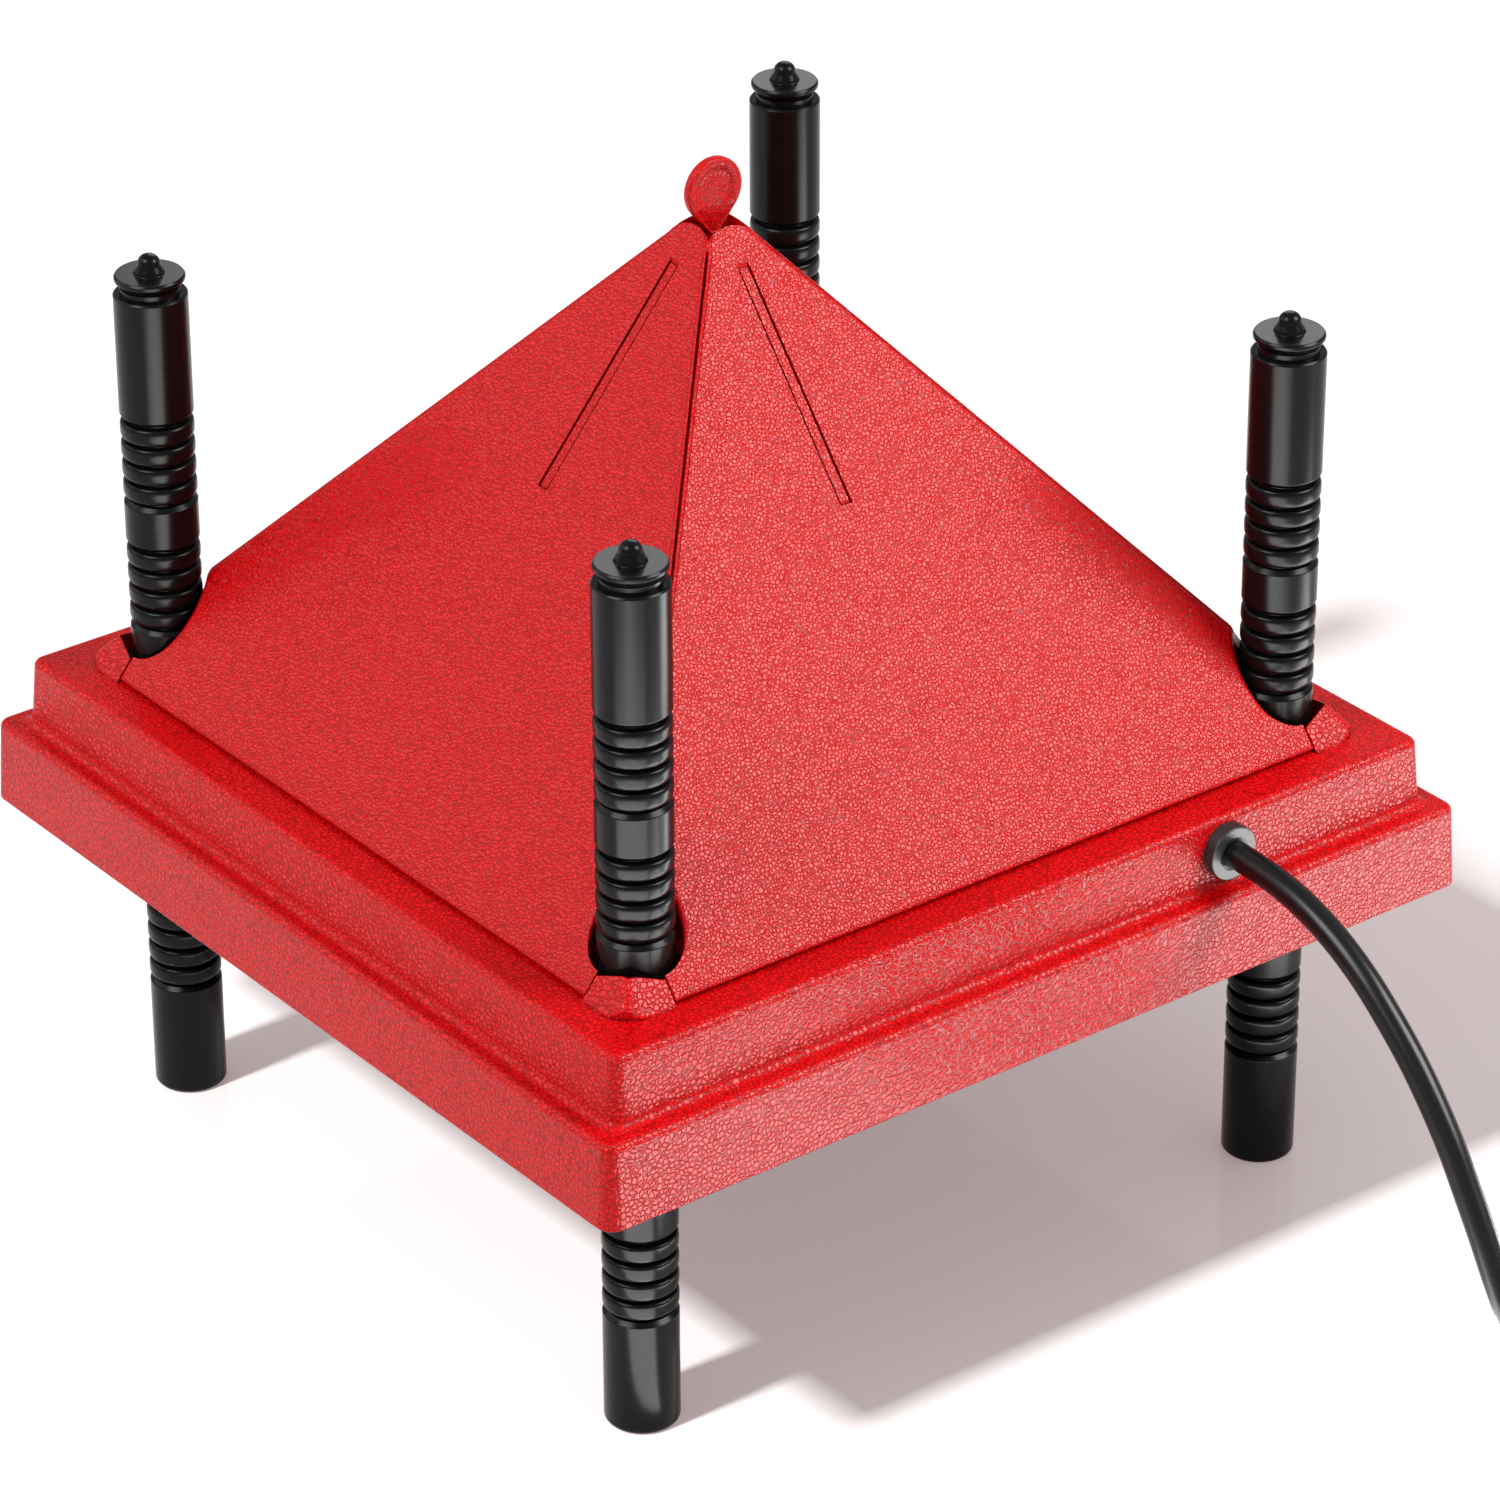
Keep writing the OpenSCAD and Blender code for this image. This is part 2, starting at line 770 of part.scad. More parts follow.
module leg_section() {
    between = group_pitch - group_l - rib_flat;
    difference() {
        union() {
            translate([0, foot_round]) square([stem_r, barrel_top - foot_round - band_chamfer]);
            square([leg_r - foot_round, foot_round]);
            translate([leg_r - foot_round, foot_round]) circle(r = foot_round);
            band(foot_round, groove_z - rib_flat / 2, 0);
            for (g = [0:groups - 2])
                translate([0, groove_z + g * group_pitch + group_l + rib_flat / 2])
                    band(0, between, band_chamfer);
            band(top_groove_z + rib_flat / 2, barrel_top, band_chamfer);
            for (g = [0:groups - 1], k = [0:ribs - 1])
                translate([rib_axis, groove_z + g * group_pitch + (k + 0.5) * rib_pitch])
                    circle(r = rib_r);
        }
        translate([-cut, -cut]) square([leg_bore_r + cut, barrel_top + 2 * cut]);
    }
}

module leg(i) {
    color(black) at_legs([i]) rotate_extrude() leg_section();
}

module leg_cap(i) {
    cone_z = barrel_top + cap_neck_h;
    edge_z = cone_z + cap_cone_h;
    nub_z = cap_top + nub_base_h;
    color(black)
        at_legs([i])
            rotate_extrude()
                union() {
                    polygon([
                        [0, barrel_top - cap_spigot_l], [leg_bore_r, barrel_top - cap_spigot_l],
                        [leg_bore_r, barrel_top], [cap_neck_r, barrel_top], [cap_neck_r, cone_z],
                        [leg_r, edge_z], [leg_r, edge_z + cap_edge_h],
                        [leg_r - cap_bevel, cap_top], [nub_base_r, cap_top], [nub_base_r, nub_z],
                        [nub_r, nub_z + nub_rise], [0, nub_z + nub_rise]
                    ]);
                    intersection() {
                        translate([0, nub_z + nub_rise]) circle(r = nub_r);
                        translate([0, nub_z + nub_rise]) square([nub_r, nub_r]);
                    }
                }
}

module leg_foot(i) {
    color(rubber_black)
        at_legs([i])
            difference() {
                cylinder(r = leg_bore_r, h = foot_plug_h);
                translate([0, 0, -cut]) cylinder(r = foot_dish_r, h = foot_dish_h + cut);
            }
}

module leg_catch(i) {
    color(pan_grey)
        at_legs([i]) {
            translate([catch_in, -catch_w / 2, catch_foot_z])
                cube([catch_t, catch_w, catch_top_z - catch_foot_z]);
            translate([0, 0, catch_z])
                rotate([90, 0, 0])
                    linear_extrude(catch_w, center = true)
                        polygon([
                            [catch_in + catch_t, -catch_nose_half], [catch_in, -catch_nose_half],
                            [catch_nose_r, -catch_tip_half], [catch_nose_r, catch_tip_half],
                            [catch_in, catch_nose_half], [catch_in + catch_t, catch_nose_half]
                        ]);
        }
}

// Cover

function lip_strip(side) = [
    [side * lip_top_x, -lip_top_x - hip_step],
    [side * cover_side, -cover_side - hip_step],
    [side * cover_side, -cover_side - hip_step - lip_step],
    [side * lip_top_x, -lip_top_x - hip_step - lip_step]
];

module cover_panel(turn) {
    tip_side = tip_half + tip_round;
    outline = [
        [-cover_side, -cover_half], [cover_side, -cover_half],
        [cover_side, -cover_side - hip_step],
        [tip_side + tip_round, -tip_side - tip_round - hip_step],
        [tip_side, -tip_side - tip_round / 2 - hip_step],
        [tip_half, -tip_y], [-tip_half, -tip_y],
        [-tip_side, -tip_side - tip_round / 2 - hip_step],
        [-tip_side - tip_round, -tip_side - tip_round - hip_step],
        [-cover_side, -cover_side - hip_step]
    ];
    color(red)
        rotate([0, 0, turn])
            difference() {
                union() {
                    intersection() {
                        slope_layer(panel_drop);
                        cover_column(outline);
                    }
                    for (side = [-1, 1])
                        intersection() {
                            slope_layer(lip_drop);
                            cover_column(lip_strip(side));
                        }
                    for (x = [-gusset_x, gusset_x])
                        translate([x, 0, 0])
                            rotate([90, 0, 90])
                                linear_extrude(gusset_t, center = true)
                                    polygon([
                                        [-gusset_out, top_z], [-gusset_in, top_z],
                                        [-gusset_in, slope_under(gusset_in)],
                                        [-gusset_out, slope_under(gusset_out)]
                                    ]);
                }
                for (x = [-leg_x, leg_x])
                    translate([x, -leg_x, top_z]) cylinder(r = notch_r, h = apex_z);
                intersection() {
                    slope_layer(seam_d / cos(cover_slope));
                    cover_column([
                        [-seam_w / 2, -seam_to], [seam_w / 2, -seam_to],
                        [seam_w / 2, -seam_from], [-seam_w / 2, -seam_from]
                    ]);
                }
            }
}

// Height at which a gusset ends, a share of the way into the panel above it
function slope_under(y) = apex_z - y * slope_rise - panel_drop * (1 - gusset_bite_share);

module hip_splines() {
    hip_rise = slope_rise / sqrt(2);
    from = lip_top_x * sqrt(2);
    to = leg_x * sqrt(2) - notch_r - lip_t;
    color(red)
        for (i = [0:3])
            rotate([0, 0, 45 + 90 * i])
                rotate([90, 0, 0])
                    linear_extrude(hip_gap, center = true)
                        polygon([
                            [from, apex_z - from * hip_rise - spline_drop],
                            [to, apex_z - to * hip_rise - spline_drop],
                            [to, apex_z - to * hip_rise - spline_drop - spline_h],
                            [from, apex_z - from * hip_rise - spline_drop - spline_h]
                        ]);
}

module tab_outline() {
    union() {
        translate([0, tab_z]) circle(r = tab_r);
        polygon([
            [-tab_shoulder_half, tab_z - tab_shoulder_drop], [-neck_wide_half, neck_z + neck_flare],
            [-neck_half, neck_z], [-neck_half, apex_z - panel_drop - hub_drop],
            [neck_half, apex_z - panel_drop - hub_drop], [neck_half, neck_z],
            [neck_wide_half, neck_z + neck_flare], [tab_shoulder_half, tab_z - tab_shoulder_drop]
        ]);
    }
}

module apex_clip() {
    hub_top = apex_z - panel_drop - hub_drop / 2;
    color(red)
        difference() {
            union() {
                intersection() {
                    pyramid(panel_drop);
                    translate([-lip_top_x, -lip_top_x, hub_top - hub_h])
                        cube([2 * lip_top_x, 2 * lip_top_x, hub_h]);
                }
                rotate([90, 0, 0]) linear_extrude(tab_t, center = true) tab_outline();
            }
            for (s = [-1, 1])
                translate([0, s * tab_t / 2, tab_z])
                    rotate([90, 0, 0]) cylinder(r = tab_r - tab_rim, h = 2 * tab_dish, center = true);
        }
}

// Lead

module mains_cord() {
    color(rubber_black)
        tube(cord_path, cord_r, cord_sides, [1, 0, 0]);
}

function coil_radius(a) =
    a < coil_sweep ? coil_r - coil_pitch * a / 360
    : a < coil_sweep + coil_climb
        ? coil_in_r - coil_pitch * min(a - coil_sweep, coil_sweep + coil_climb - a) / 360
        : coil_in_r + coil_pitch * (a - coil_sweep - coil_climb) / 360;
function coil_height(a) =
    let (share = min(max((a - coil_sweep) / coil_climb, 0), 1))
    coil_layer * share * share * (3 - 2 * share);
function coil_point(a) =
    coil_centre + [coil_radius(a) * cos(180 + a), coil_radius(a) * sin(180 + a), coil_height(a)];

coil_count = ceil(coil_all / 360 * coil_steps);
coil_turn_points = [for (k = [0:coil_count]) coil_point(coil_all * k / coil_count)];
coil_heading = [-sin(coil_end_turn), cos(coil_end_turn), 0];
coil_end = coil_turn_points[coil_count] + coil_tail_l * coil_heading;
coil_path = concat(
    [cord_end],
    coil_turn_points,
    [coil_end - coil_tail_l / 2 * coil_heading, coil_end]
);
coil_least = min([
    for (i = [0:coil_count], j = [i + coil_steps / 2:1:coil_count])
        norm(coil_turn_points[i] - coil_turn_points[j])
]);
function path_length(p, i = 1) = i < len(p) ? norm(p[i] - p[i - 1]) + path_length(p, i + 1) : 0;
echo("least gap of the coil to itself", coil_least - cord_d);
echo("length of the free lead", path_length(cord_path), "length of the coil", path_length(coil_path));

module cord_coil() {
    color(rubber_black) tube(coil_path, cord_r, coil_sides, [1, 0, 0]);
}

module cord_tie() {
    h = coil_layer + cord_d;
    color(black)
        translate([coil_centre.x, coil_centre.y - tie_w / 2, 0])
            difference() {
                translate([tie_in - tie_t, 0, 0]) cube([tie_out - tie_in + 2 * tie_t, tie_w, h + 2 * tie_t]);
                translate([tie_in, -cut, tie_t]) cube([tie_out - tie_in, tie_w + 2 * cut, h]);
            }
}

// Places children at the end of the coil, with +Z along the plug
module at_plug() {
    translate(coil_end) rotate([0, 0, coil_end_turn + 90]) rotate([0, 90, 0]) children();
}

module plug_body() {
    waist_z = plug_relief_l;
    face_z = plug_relief_l + plug_body_l;
    color(rubber_black)
        at_plug()
            rotate_extrude()
                polygon([
                    [0, 0], [cord_r, 0], [plug_relief_r, waist_z],
                    [plug_r - plug_waist, waist_z + plug_face_l],
                    [plug_r, face_z - plug_face_l], [plug_r, face_z - plug_edge],
                    [plug_r - plug_edge, face_z], [0, face_z]
                ]);
}

module plug_pins() {
    face_z = plug_relief_l + plug_body_l;
    color(brass)
        at_plug() {
            for (s = [-1, 1])
                translate([-blade_w / 2, s * blade_pitch / 2 - blade_t / 2, face_z])
                    cube([blade_w, blade_t, blade_l]);
            translate([earth_drop, 0, face_z]) cylinder(r = earth_r, h = earth_l);
        }
}

// Parts

housing();
base_pan();
base_screws();
heat_spreader();
heater_mat();
heater_trace();
insulation_pad();
thermostat();
thermal_fuse();
terminal_block();
cord_cores();
lead_live();
lead_link();
lead_feed();
lead_neutral();
lead_earth();
cord_grommet();
cord_clamp();
clamp_screws();
leg_catch(0);  // catch_front
leg_catch(1);  // catch_right
leg_catch(2);  // catch_back
leg_catch(3);  // catch_left
leg(0);  // leg_front
leg(1);  // leg_right
leg(2);  // leg_back
leg(3);  // leg_left
leg_cap(0);  // cap_front
leg_cap(1);  // cap_right
leg_cap(2);  // cap_back
leg_cap(3);  // cap_left
leg_foot(0);  // foot_front
leg_foot(1);  // foot_right
leg_foot(2);  // foot_back
leg_foot(3);  // foot_left
cover_panel(0);  // panel_right
cover_panel(90);  // panel_back_right
cover_panel(180);  // panel_back_left
cover_panel(270);  // panel_left
hip_splines();
apex_clip();
mains_cord();
cord_coil();
cord_tie();
plug_body();
plug_pins();
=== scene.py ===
"""Dressed model of a heated brooder plate for chicks.

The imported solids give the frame, in metres. The pieces that show are built here again as smooth
surfaces in the same places, from the same sizes in millimetres, and each rides on the body of the
solid that it stands for.
"""
from __future__ import annotations

import json
import logging
import math
from dataclasses import dataclass, field, replace
from enum import Enum
from typing import Any, Sequence

import bmesh
import bpy
import numpy as np
from mathutils import Matrix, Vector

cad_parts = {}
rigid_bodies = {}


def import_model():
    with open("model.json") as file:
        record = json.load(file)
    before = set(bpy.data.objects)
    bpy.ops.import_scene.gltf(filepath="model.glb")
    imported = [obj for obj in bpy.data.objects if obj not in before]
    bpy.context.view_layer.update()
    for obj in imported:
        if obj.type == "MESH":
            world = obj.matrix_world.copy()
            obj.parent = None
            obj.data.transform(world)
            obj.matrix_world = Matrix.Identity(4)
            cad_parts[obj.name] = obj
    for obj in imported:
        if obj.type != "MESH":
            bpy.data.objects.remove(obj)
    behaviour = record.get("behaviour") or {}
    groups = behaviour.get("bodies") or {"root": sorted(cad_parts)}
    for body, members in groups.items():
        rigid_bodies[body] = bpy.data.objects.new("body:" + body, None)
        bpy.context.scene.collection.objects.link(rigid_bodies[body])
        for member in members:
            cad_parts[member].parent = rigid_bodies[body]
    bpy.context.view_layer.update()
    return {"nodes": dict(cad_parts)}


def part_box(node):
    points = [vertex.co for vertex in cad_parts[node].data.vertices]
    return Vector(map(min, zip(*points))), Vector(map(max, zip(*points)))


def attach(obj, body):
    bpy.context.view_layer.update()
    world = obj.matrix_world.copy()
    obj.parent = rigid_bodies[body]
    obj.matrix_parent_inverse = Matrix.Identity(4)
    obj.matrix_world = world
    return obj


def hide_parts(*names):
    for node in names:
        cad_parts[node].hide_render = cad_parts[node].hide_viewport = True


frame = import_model()
LOG = logging.getLogger("brooder_plate")
MM = 0.001
# Points nearer to each other than this, in metres, become one.
MERGE = 1e-6
# Edges that turn by more than this, in degrees, are drawn sharp.
SHARP_TURN = 42
# A corner that turns by less than this, in radians, counts as straight.
STRAIGHT = 1e-4


# Surfaces


@dataclass
class Skin:
    """Points of one surface in millimetres, and its faces as arrays of point numbers.

    Attributes:
        points: one row of x, y, z per point.
        faces: arrays with one row per face, each array with its own number of corners.
    """

    points: np.ndarray
    faces: list[np.ndarray]

    def placed(self, turn: np.ndarray, shift: Sequence[float]) -> "Skin":
        """Gives a copy turned by a matrix, then moved.

        Args:
            turn: three by three matrix.
            shift: move in millimetres.

        Returns:
            The placed copy.
        """
        return Skin(self.points @ np.asarray(turn).T + np.asarray(shift), self.faces)

    def moved(self, shift: Sequence[float]) -> "Skin":
        """Gives a copy moved by millimetres."""
        return Skin(self.points + np.asarray(shift), self.faces)

    def turned(self, degrees: float) -> "Skin":
        """Gives a copy turned about Z."""
        return self.placed(about_z(degrees), (0, 0, 0))


def about_z(degrees: float) -> np.ndarray:
    """Gives the matrix of a turn about Z."""
    c, s = math.cos(math.radians(degrees)), math.sin(math.radians(degrees))
    return np.array([[c, -s, 0.0], [s, c, 0.0], [0.0, 0.0, 1.0]])


def basis(x: Sequence[float], y: Sequence[float], z: Sequence[float]) -> np.ndarray:
    """Gives the matrix that takes the axes to three given directions."""
    return np.array([x, y, z], dtype=float).T


def joined(skins: Sequence[Skin]) -> Skin:
    """Joins surfaces into one.

    Args:
        skins: the surfaces.

    Returns:
        One surface with all their points and faces.
    """
    starts = np.cumsum([0] + [len(s.points) for s in skins])
    faces = [f + start for s, start in zip(skins, starts) for f in s.faces]
    return Skin(np.concatenate([s.points for s in skins]), faces)


def grid(points: np.ndarray, wrap_rows: bool = False, wrap_cols: bool = False) -> Skin:
    """Makes a surface from a grid of points, one quad between each four neighbours.

    Args:
        points: rows by columns by three.
        wrap_rows: whether the last row joins the first.
        wrap_cols: whether the last column joins the first.

    Returns:
        The surface.
    """
    rows, cols = points.shape[:2]
    steps = np.arange(rows - (not wrap_rows)), np.arange(cols - (not wrap_cols))
    i, j = (k.ravel() for k in np.meshgrid(*steps, indexing="ij"))
    down, along = (i + 1) % rows, (j + 1) % cols
    quads = np.stack([i * cols + j, i * cols + along, down * cols + along, down * cols + j], axis=1)
    return Skin(points.reshape(-1, 3), [quads])


def capped(points: np.ndarray) -> Skin:
    """Makes a closed surface from stacked rings: the grid between them, and a face on each end ring.

    Args:
        points: rings by points by three.

    Returns:
        The closed surface.
    """
    skin = grid(points, wrap_cols=True)
    rows, cols = points.shape[:2]
    ends = np.stack([np.arange(cols)[::-1], (rows - 1) * cols + np.arange(cols)])
    return Skin(skin.points, skin.faces + [ends])


def lofted(sections: np.ndarray, heights: np.ndarray) -> Skin:
    """Makes a closed surface from flat sections, each level at its own height.

    Args:
        sections: sections by points by two.
        heights: one height for each section.

    Returns:
        The closed surface.
    """
    level = np.broadcast_to(heights[:, None, None], sections.shape[:2] + (1,))
    return capped(np.concatenate([sections, level], axis=2))


def unit(v: np.ndarray) -> np.ndarray:
    """Gives vectors their direction at length one, along the last axis."""
    return v / np.linalg.norm(v, axis=-1, keepdims=True)


def eased(share: np.ndarray) -> np.ndarray:
    """Gives the smooth step 3 s^2 - 2 s^3 of a share that is held between 0 and 1."""
    s = np.clip(share, 0, 1)
    return s**2 * (3 - 2 * s)


def round_angles(count: int) -> np.ndarray:
    """Gives angles at even steps round a full turn, in radians."""
    return np.linspace(0, 2 * math.pi, count, endpoint=False)


def quarter_angles(count: int) -> np.ndarray:
    """Gives angles at even steps over a quarter turn, in radians."""
    return np.linspace(0, math.pi / 2, count)


def rounded(corners: Sequence[tuple[float, float, float]], steps: int, guard: float) -> np.ndarray:
    """Draws an open line through corners and rounds each inner one to its own radius.

    At a corner the arc's centre lies on the bisector, at radius over the sine of the half angle. A
    guard point just before and after each arc keeps flat faces flat under smooth shading.

    Args:
        corners: two coordinates and a radius for each corner.
        steps: points on each arc.
        guard: distance of a guard point from its arc.

    Returns:
        Points of the line, two coordinates each.
    """
    places = np.array([c[:2] for c in corners], dtype=float)
    line = [places[:1]]
    for k in range(1, len(corners) - 1):
        radius = corners[k][2]
        back, on = unit(places[k - 1] - places[k]), unit(places[k + 1] - places[k])
        half = math.acos(float(np.clip(back @ on, -1, 1))) / 2
        if radius <= 0 or half > math.pi / 2 - STRAIGHT:
            line.append(places[k:k + 1])
            continue
        reach = radius / math.tan(half)
        centre = places[k] + unit(back + on) * radius / math.sin(half)
        first, last = places[k] + back * reach - centre, places[k] + on * reach - centre
        whole = math.pi - 2 * half
        share = np.linspace(0, 1, steps)[:, None]
        arc = centre + (np.sin((1 - share) * whole) * first + np.sin(share * whole) * last) / math.sin(whole)
        line.append(np.concatenate([arc[:1] + back * guard, arc, arc[-1:] + on * guard]))
    line.append(places[-1:])
    return np.concatenate(line)


def lathe(line: np.ndarray, segments: int) -> Skin:
    """Turns a line about Z: a point at radius r and height h becomes a ring (r cos a, r sin a, h).

    Args:
        line: radius and height of each point.
        segments: points round each ring.

    Returns:
        The surface.
    """
    a = round_angles(segments)
    r, h = line[:, :1], line[:, 1:]
    return grid(np.stack([r * np.cos(a), r * np.sin(a), h + 0 * a], axis=2), wrap_cols=True)


def tube(path: np.ndarray, side: np.ndarray, radius: float, sides: int) -> Skin:
    """Carries a circle along a path: point + r (cos a side + sin a (tangent x side)).

    Args:
        path: points of the centre line.
        side: a direction square to the path at each point.
        radius: radius of the tube.
        sides: points round the tube.

    Returns:
        The closed surface.
    """
    tangent = unit(np.gradient(path, axis=0))
    side = unit(side - (side * tangent).sum(axis=1, keepdims=True) * tangent)
    over = np.cross(tangent, side)
    a = round_angles(sides)[None, :, None]
    return capped(path[:, None] + radius * (np.cos(a) * side[:, None] + np.sin(a) * over[:, None]))


def smooth_path(points: np.ndarray, per_span: int) -> np.ndarray:
    """Draws a smooth line through points, with a cubic from each to the next.

    The slope at a point is half the step between its neighbours.

    Args:
        points: points that the line goes through.
        per_span: steps between two points.

    Returns:
        The line's points.
    """
    padded = np.concatenate([2 * points[:1] - points[1:2], points, 2 * points[-1:] - points[-2:-1]])
    a, b, c, d = padded[:-3], padded[1:-2], padded[2:-1], padded[3:]
    t = np.linspace(0, 1, per_span, endpoint=False)[None, :, None]
    a, b, c, d = (p[:, None] for p in (a, b, c, d))
    line = b + t / 2 * (c - a) + t**2 / 2 * (2 * a - 5 * b + 4 * c - d) + t**3 / 2 * (3 * b - a - 3 * c + d)
    return np.concatenate([line.reshape(-1, points.shape[1]), points[-1:]])


def spaced(line: np.ndarray, count: int) -> np.ndarray:
    """Spaces points evenly along a line.

    Args:
        line: points of the line.
        count: number of points to give.

    Returns:
        Points on the line at even steps of length.
    """
    along = np.concatenate([[0], np.cumsum(np.linalg.norm(np.diff(line, axis=0), axis=1))])
    steps = np.linspace(0, along[-1], count)
    return np.stack([np.interp(steps, along, line[:, k]) for k in range(line.shape[1])], axis=1)


def squared(angle: np.ndarray, half_x: np.ndarray, half_y: np.ndarray, power: float) -> np.ndarray:
    """Gives a rounded rectangle about the middle.

    Its places are the cosine and the sine, each raised to 2 / power with its sign kept, times the
    half width and the half depth.

    Args:
        angle: angles round the shape.
        half_x: half width.
        half_y: half depth.
        power: 2 for an ellipse, more for squarer.

    Returns:
        Two coordinates for each angle, along the last axis.
    """
    c, s = np.cos(angle), np.sin(angle)
    x = half_x * np.sign(c) * np.abs(c) ** (2 / power)
    y = half_y * np.sign(s) * np.abs(s) ** (2 / power)
    return np.stack([x, y], axis=-1)


# Finishes


class Pattern(Enum):
    """How the surface of a finish was made."""

    LEATHER = "pebbled grain from an etched mould"
    SPARK = "fine pits from a spark-eroded mould"
    BRUSHED = "fine lines from rolling or drawing"
    FIBRE = "matted fibres"
    WOVEN = "threads that cross"


@dataclass(frozen=True)
class Finish:
    """One real material and how its surface was made.

    Attributes:
        name: common name of the material.
        colour: its colour, as a hex value in sRGB.
        low_colour: its colour in pits, creases and between fibres.
        pattern: how its surface was made.
        size_mm: width of one grain, pit or thread.
        depth_mm: height of the relief.
        roughness: its least and greatest roughness.
        slot: the record's material slot; not used.
        ior: index of refraction, for what isn't a metal.
        metallic: whether it is a metal.
        specular: strength of its gloss, 0.5 for what the index gives.
        painted_shade_colour: colour of the painted shade in slits and sharp inner corners.
        painted_shade_mm: width of the slits into which shade is painted, or zero.
    """

    name: str
    colour: str
    low_colour: str
    pattern: Pattern
    size_mm: float
    depth_mm: float
    roughness: tuple[float, float]
    slot: str
    ior: float = 1.5
    metallic: bool = False
    specular: float = 0.5
    painted_shade_colour: str = "#000000"
    painted_shade_mm: float = 0.0


# Moulded ABS with a leather grain: creased pebbles, glossy on top, that break up the light of broad lamps.
# Its slits and sharp inner corners get painted shade.
GRAINED_ABS = Finish(
    "red_grained_abs", "#D0080D", "#960003", Pattern.LEATHER, 1.5, 0.1, (0.2, 0.34), "red_plastic",
    specular=0.2, painted_shade_colour="#4A0002", painted_shade_mm=1.2,
)
# The same ABS on the cover, from a mould with a finer grain, with the same painted shade in its slits.
FINE_ABS = replace(GRAINED_ABS, name="red_fine_grained_abs", size_mm=1.1, depth_mm=0.08)
# Polished ABS: black with clear, soft-edged streaks of light along each round.
GLOSS_ABS = Finish(
    "black_gloss_abs", "#0B0B0B", "#080808", Pattern.SPARK, 0.9, 0.004, (0.2, 0.28), "black_plastic",
    specular=0.15,
)
# Drawn PVC sheath: black, with long highlights that are a little broken.
PVC_SHEATH = Finish(
    "black_pvc_sheath", "#0C0C0C", "#090909", Pattern.SPARK, 0.8, 0.008, (0.24, 0.34), "cord_sheath",
    specular=0.35,
)
# Moulded rubber: black, with a greyer bloom.
RUBBER = Finish(
    "black_rubber", "#141414", "#0E0E0E", Pattern.SPARK, 0.7, 0.01, (0.35, 0.45), "black_rubber",
    ior=1.52, specular=0.25,
)
# Polypropylene from a spark-eroded mould: charcoal, with an even fine pitting.
PITTED_PP = Finish(
    "charcoal_polypropylene", "#26262A", "#1C1C1F", Pattern.SPARK, 0.6, 0.03, (0.5, 0.65), "pan_plastic",
)
# Zinc-plated steel: pale grey metal with faint drawn lines.
ZINC_STEEL = Finish(
    "zinc_plated_steel", "#C9CBCE", "#A9ABAF", Pattern.BRUSHED, 0.5, 0.004, (0.25, 0.4), "steel",
    metallic=True,
)
# Mill-finish aluminium sheet: pale metal with rolling lines.
MILL_ALUMINIUM = Finish(
    "mill_aluminium", "#DADBDE", "#C2C3C7", Pattern.BRUSHED, 0.8, 0.004, (0.3, 0.45), "aluminium",
    metallic=True,
)
# Silicone rubber mat: brick orange, with the print of the cloth that it was pressed on.
SILICONE = Finish(
    "orange_silicone", "#B84A22", "#963A19", Pattern.WOVEN, 1.0, 0.03, (0.5, 0.6), "silicone", ior=1.43,
)
# Etched resistance foil: warm grey metal.
FOIL = Finish(
    "etched_foil", "#C59A6C", "#A27C52", Pattern.BRUSHED, 0.6, 0.003, (0.3, 0.42), "trace", metallic=True,
)
# Mineral wool: pale matted fibres with no gloss.
WOOL = Finish("mineral_wool", "#DCD6C6", "#B9B19B", Pattern.FIBRE, 2.0, 0.3, (0.85, 0.95), "wool")
# Moulded nylon: off-white, slightly clouded.
NYLON = Finish(
    "white_nylon", "#E4E3DC", "#D3D1C7", Pattern.SPARK, 0.8, 0.01, (0.4, 0.5), "white_plastic", ior=1.53,
)
# PVC insulation of the inner wires.
BROWN_PVC = Finish("brown_pvc", "#5A3A24", "#4B2F1C", Pattern.SPARK, 0.5, 0.005, (0.3, 0.4), "wire")
BLUE_PVC = replace(BROWN_PVC, name="blue_pvc", colour="#1E4BA8", low_colour="#183E8C", slot="wire_blue")
GREEN_PVC = replace(BROWN_PVC, name="green_pvc", colour="#2F8F2F", low_colour="#267526", slot="wire_green")
# Drawn brass: yellow metal with fine lines along it.
BRASS = Finish(
    "drawn_brass", "#D9BC76", "#B99A55", Pattern.BRUSHED, 0.4, 0.003, (0.2, 0.32), "brass", metallic=True,
)
# Woven nylon strap: black threads that cross.
STRAP = Finish(
    "black_nylon_strap", "#161616", "#0A0A0A", Pattern.WOVEN, 1.2, 0.12, (0.6, 0.75), "black_plastic",
)

# Leather grain: grains to one wave of the noise that bends it, then bend and crease in grains.
WANDER = 3
SWAY = 0.4
CREASE = 0.2
# Brushed lines: their length over their width.
LINE_RATIO = 40
# Woven threads: thread widths to the wave texture's unit, so that a wave takes up a thread and its gap.
WAVE_RATIO = 6
# Detail of the noise in plain pits, lines and fibres.
PIT_DETAIL = 2.0
LINE_DETAIL = 3.0
FIBRE_DETAIL = 6.0
# Painted shade in slits: rays that feel for them, and the openness of a full slit and of a free surface.
SHADE_RAYS = 6
SHADE_OPEN = (0.35, 0.85)


def linear(hex_colour: str) -> tuple[float, float, float, float]:
    """Turns an sRGB hex value into linear colour.

    Args:
        hex_colour: the colour as #RRGGBB.

    Returns:
        Linear red, green, blue and an alpha of one.
    """
    value = np.array([int(hex_colour[k:k + 2], 16) for k in (1, 3, 5)]) / 255
    low, high = value / 12.92, ((value + 0.055) / 1.055) ** 2.4
    red, green, blue = np.where(value <= 0.04045, low, high)
    return float(red), float(green), float(blue), 1.0


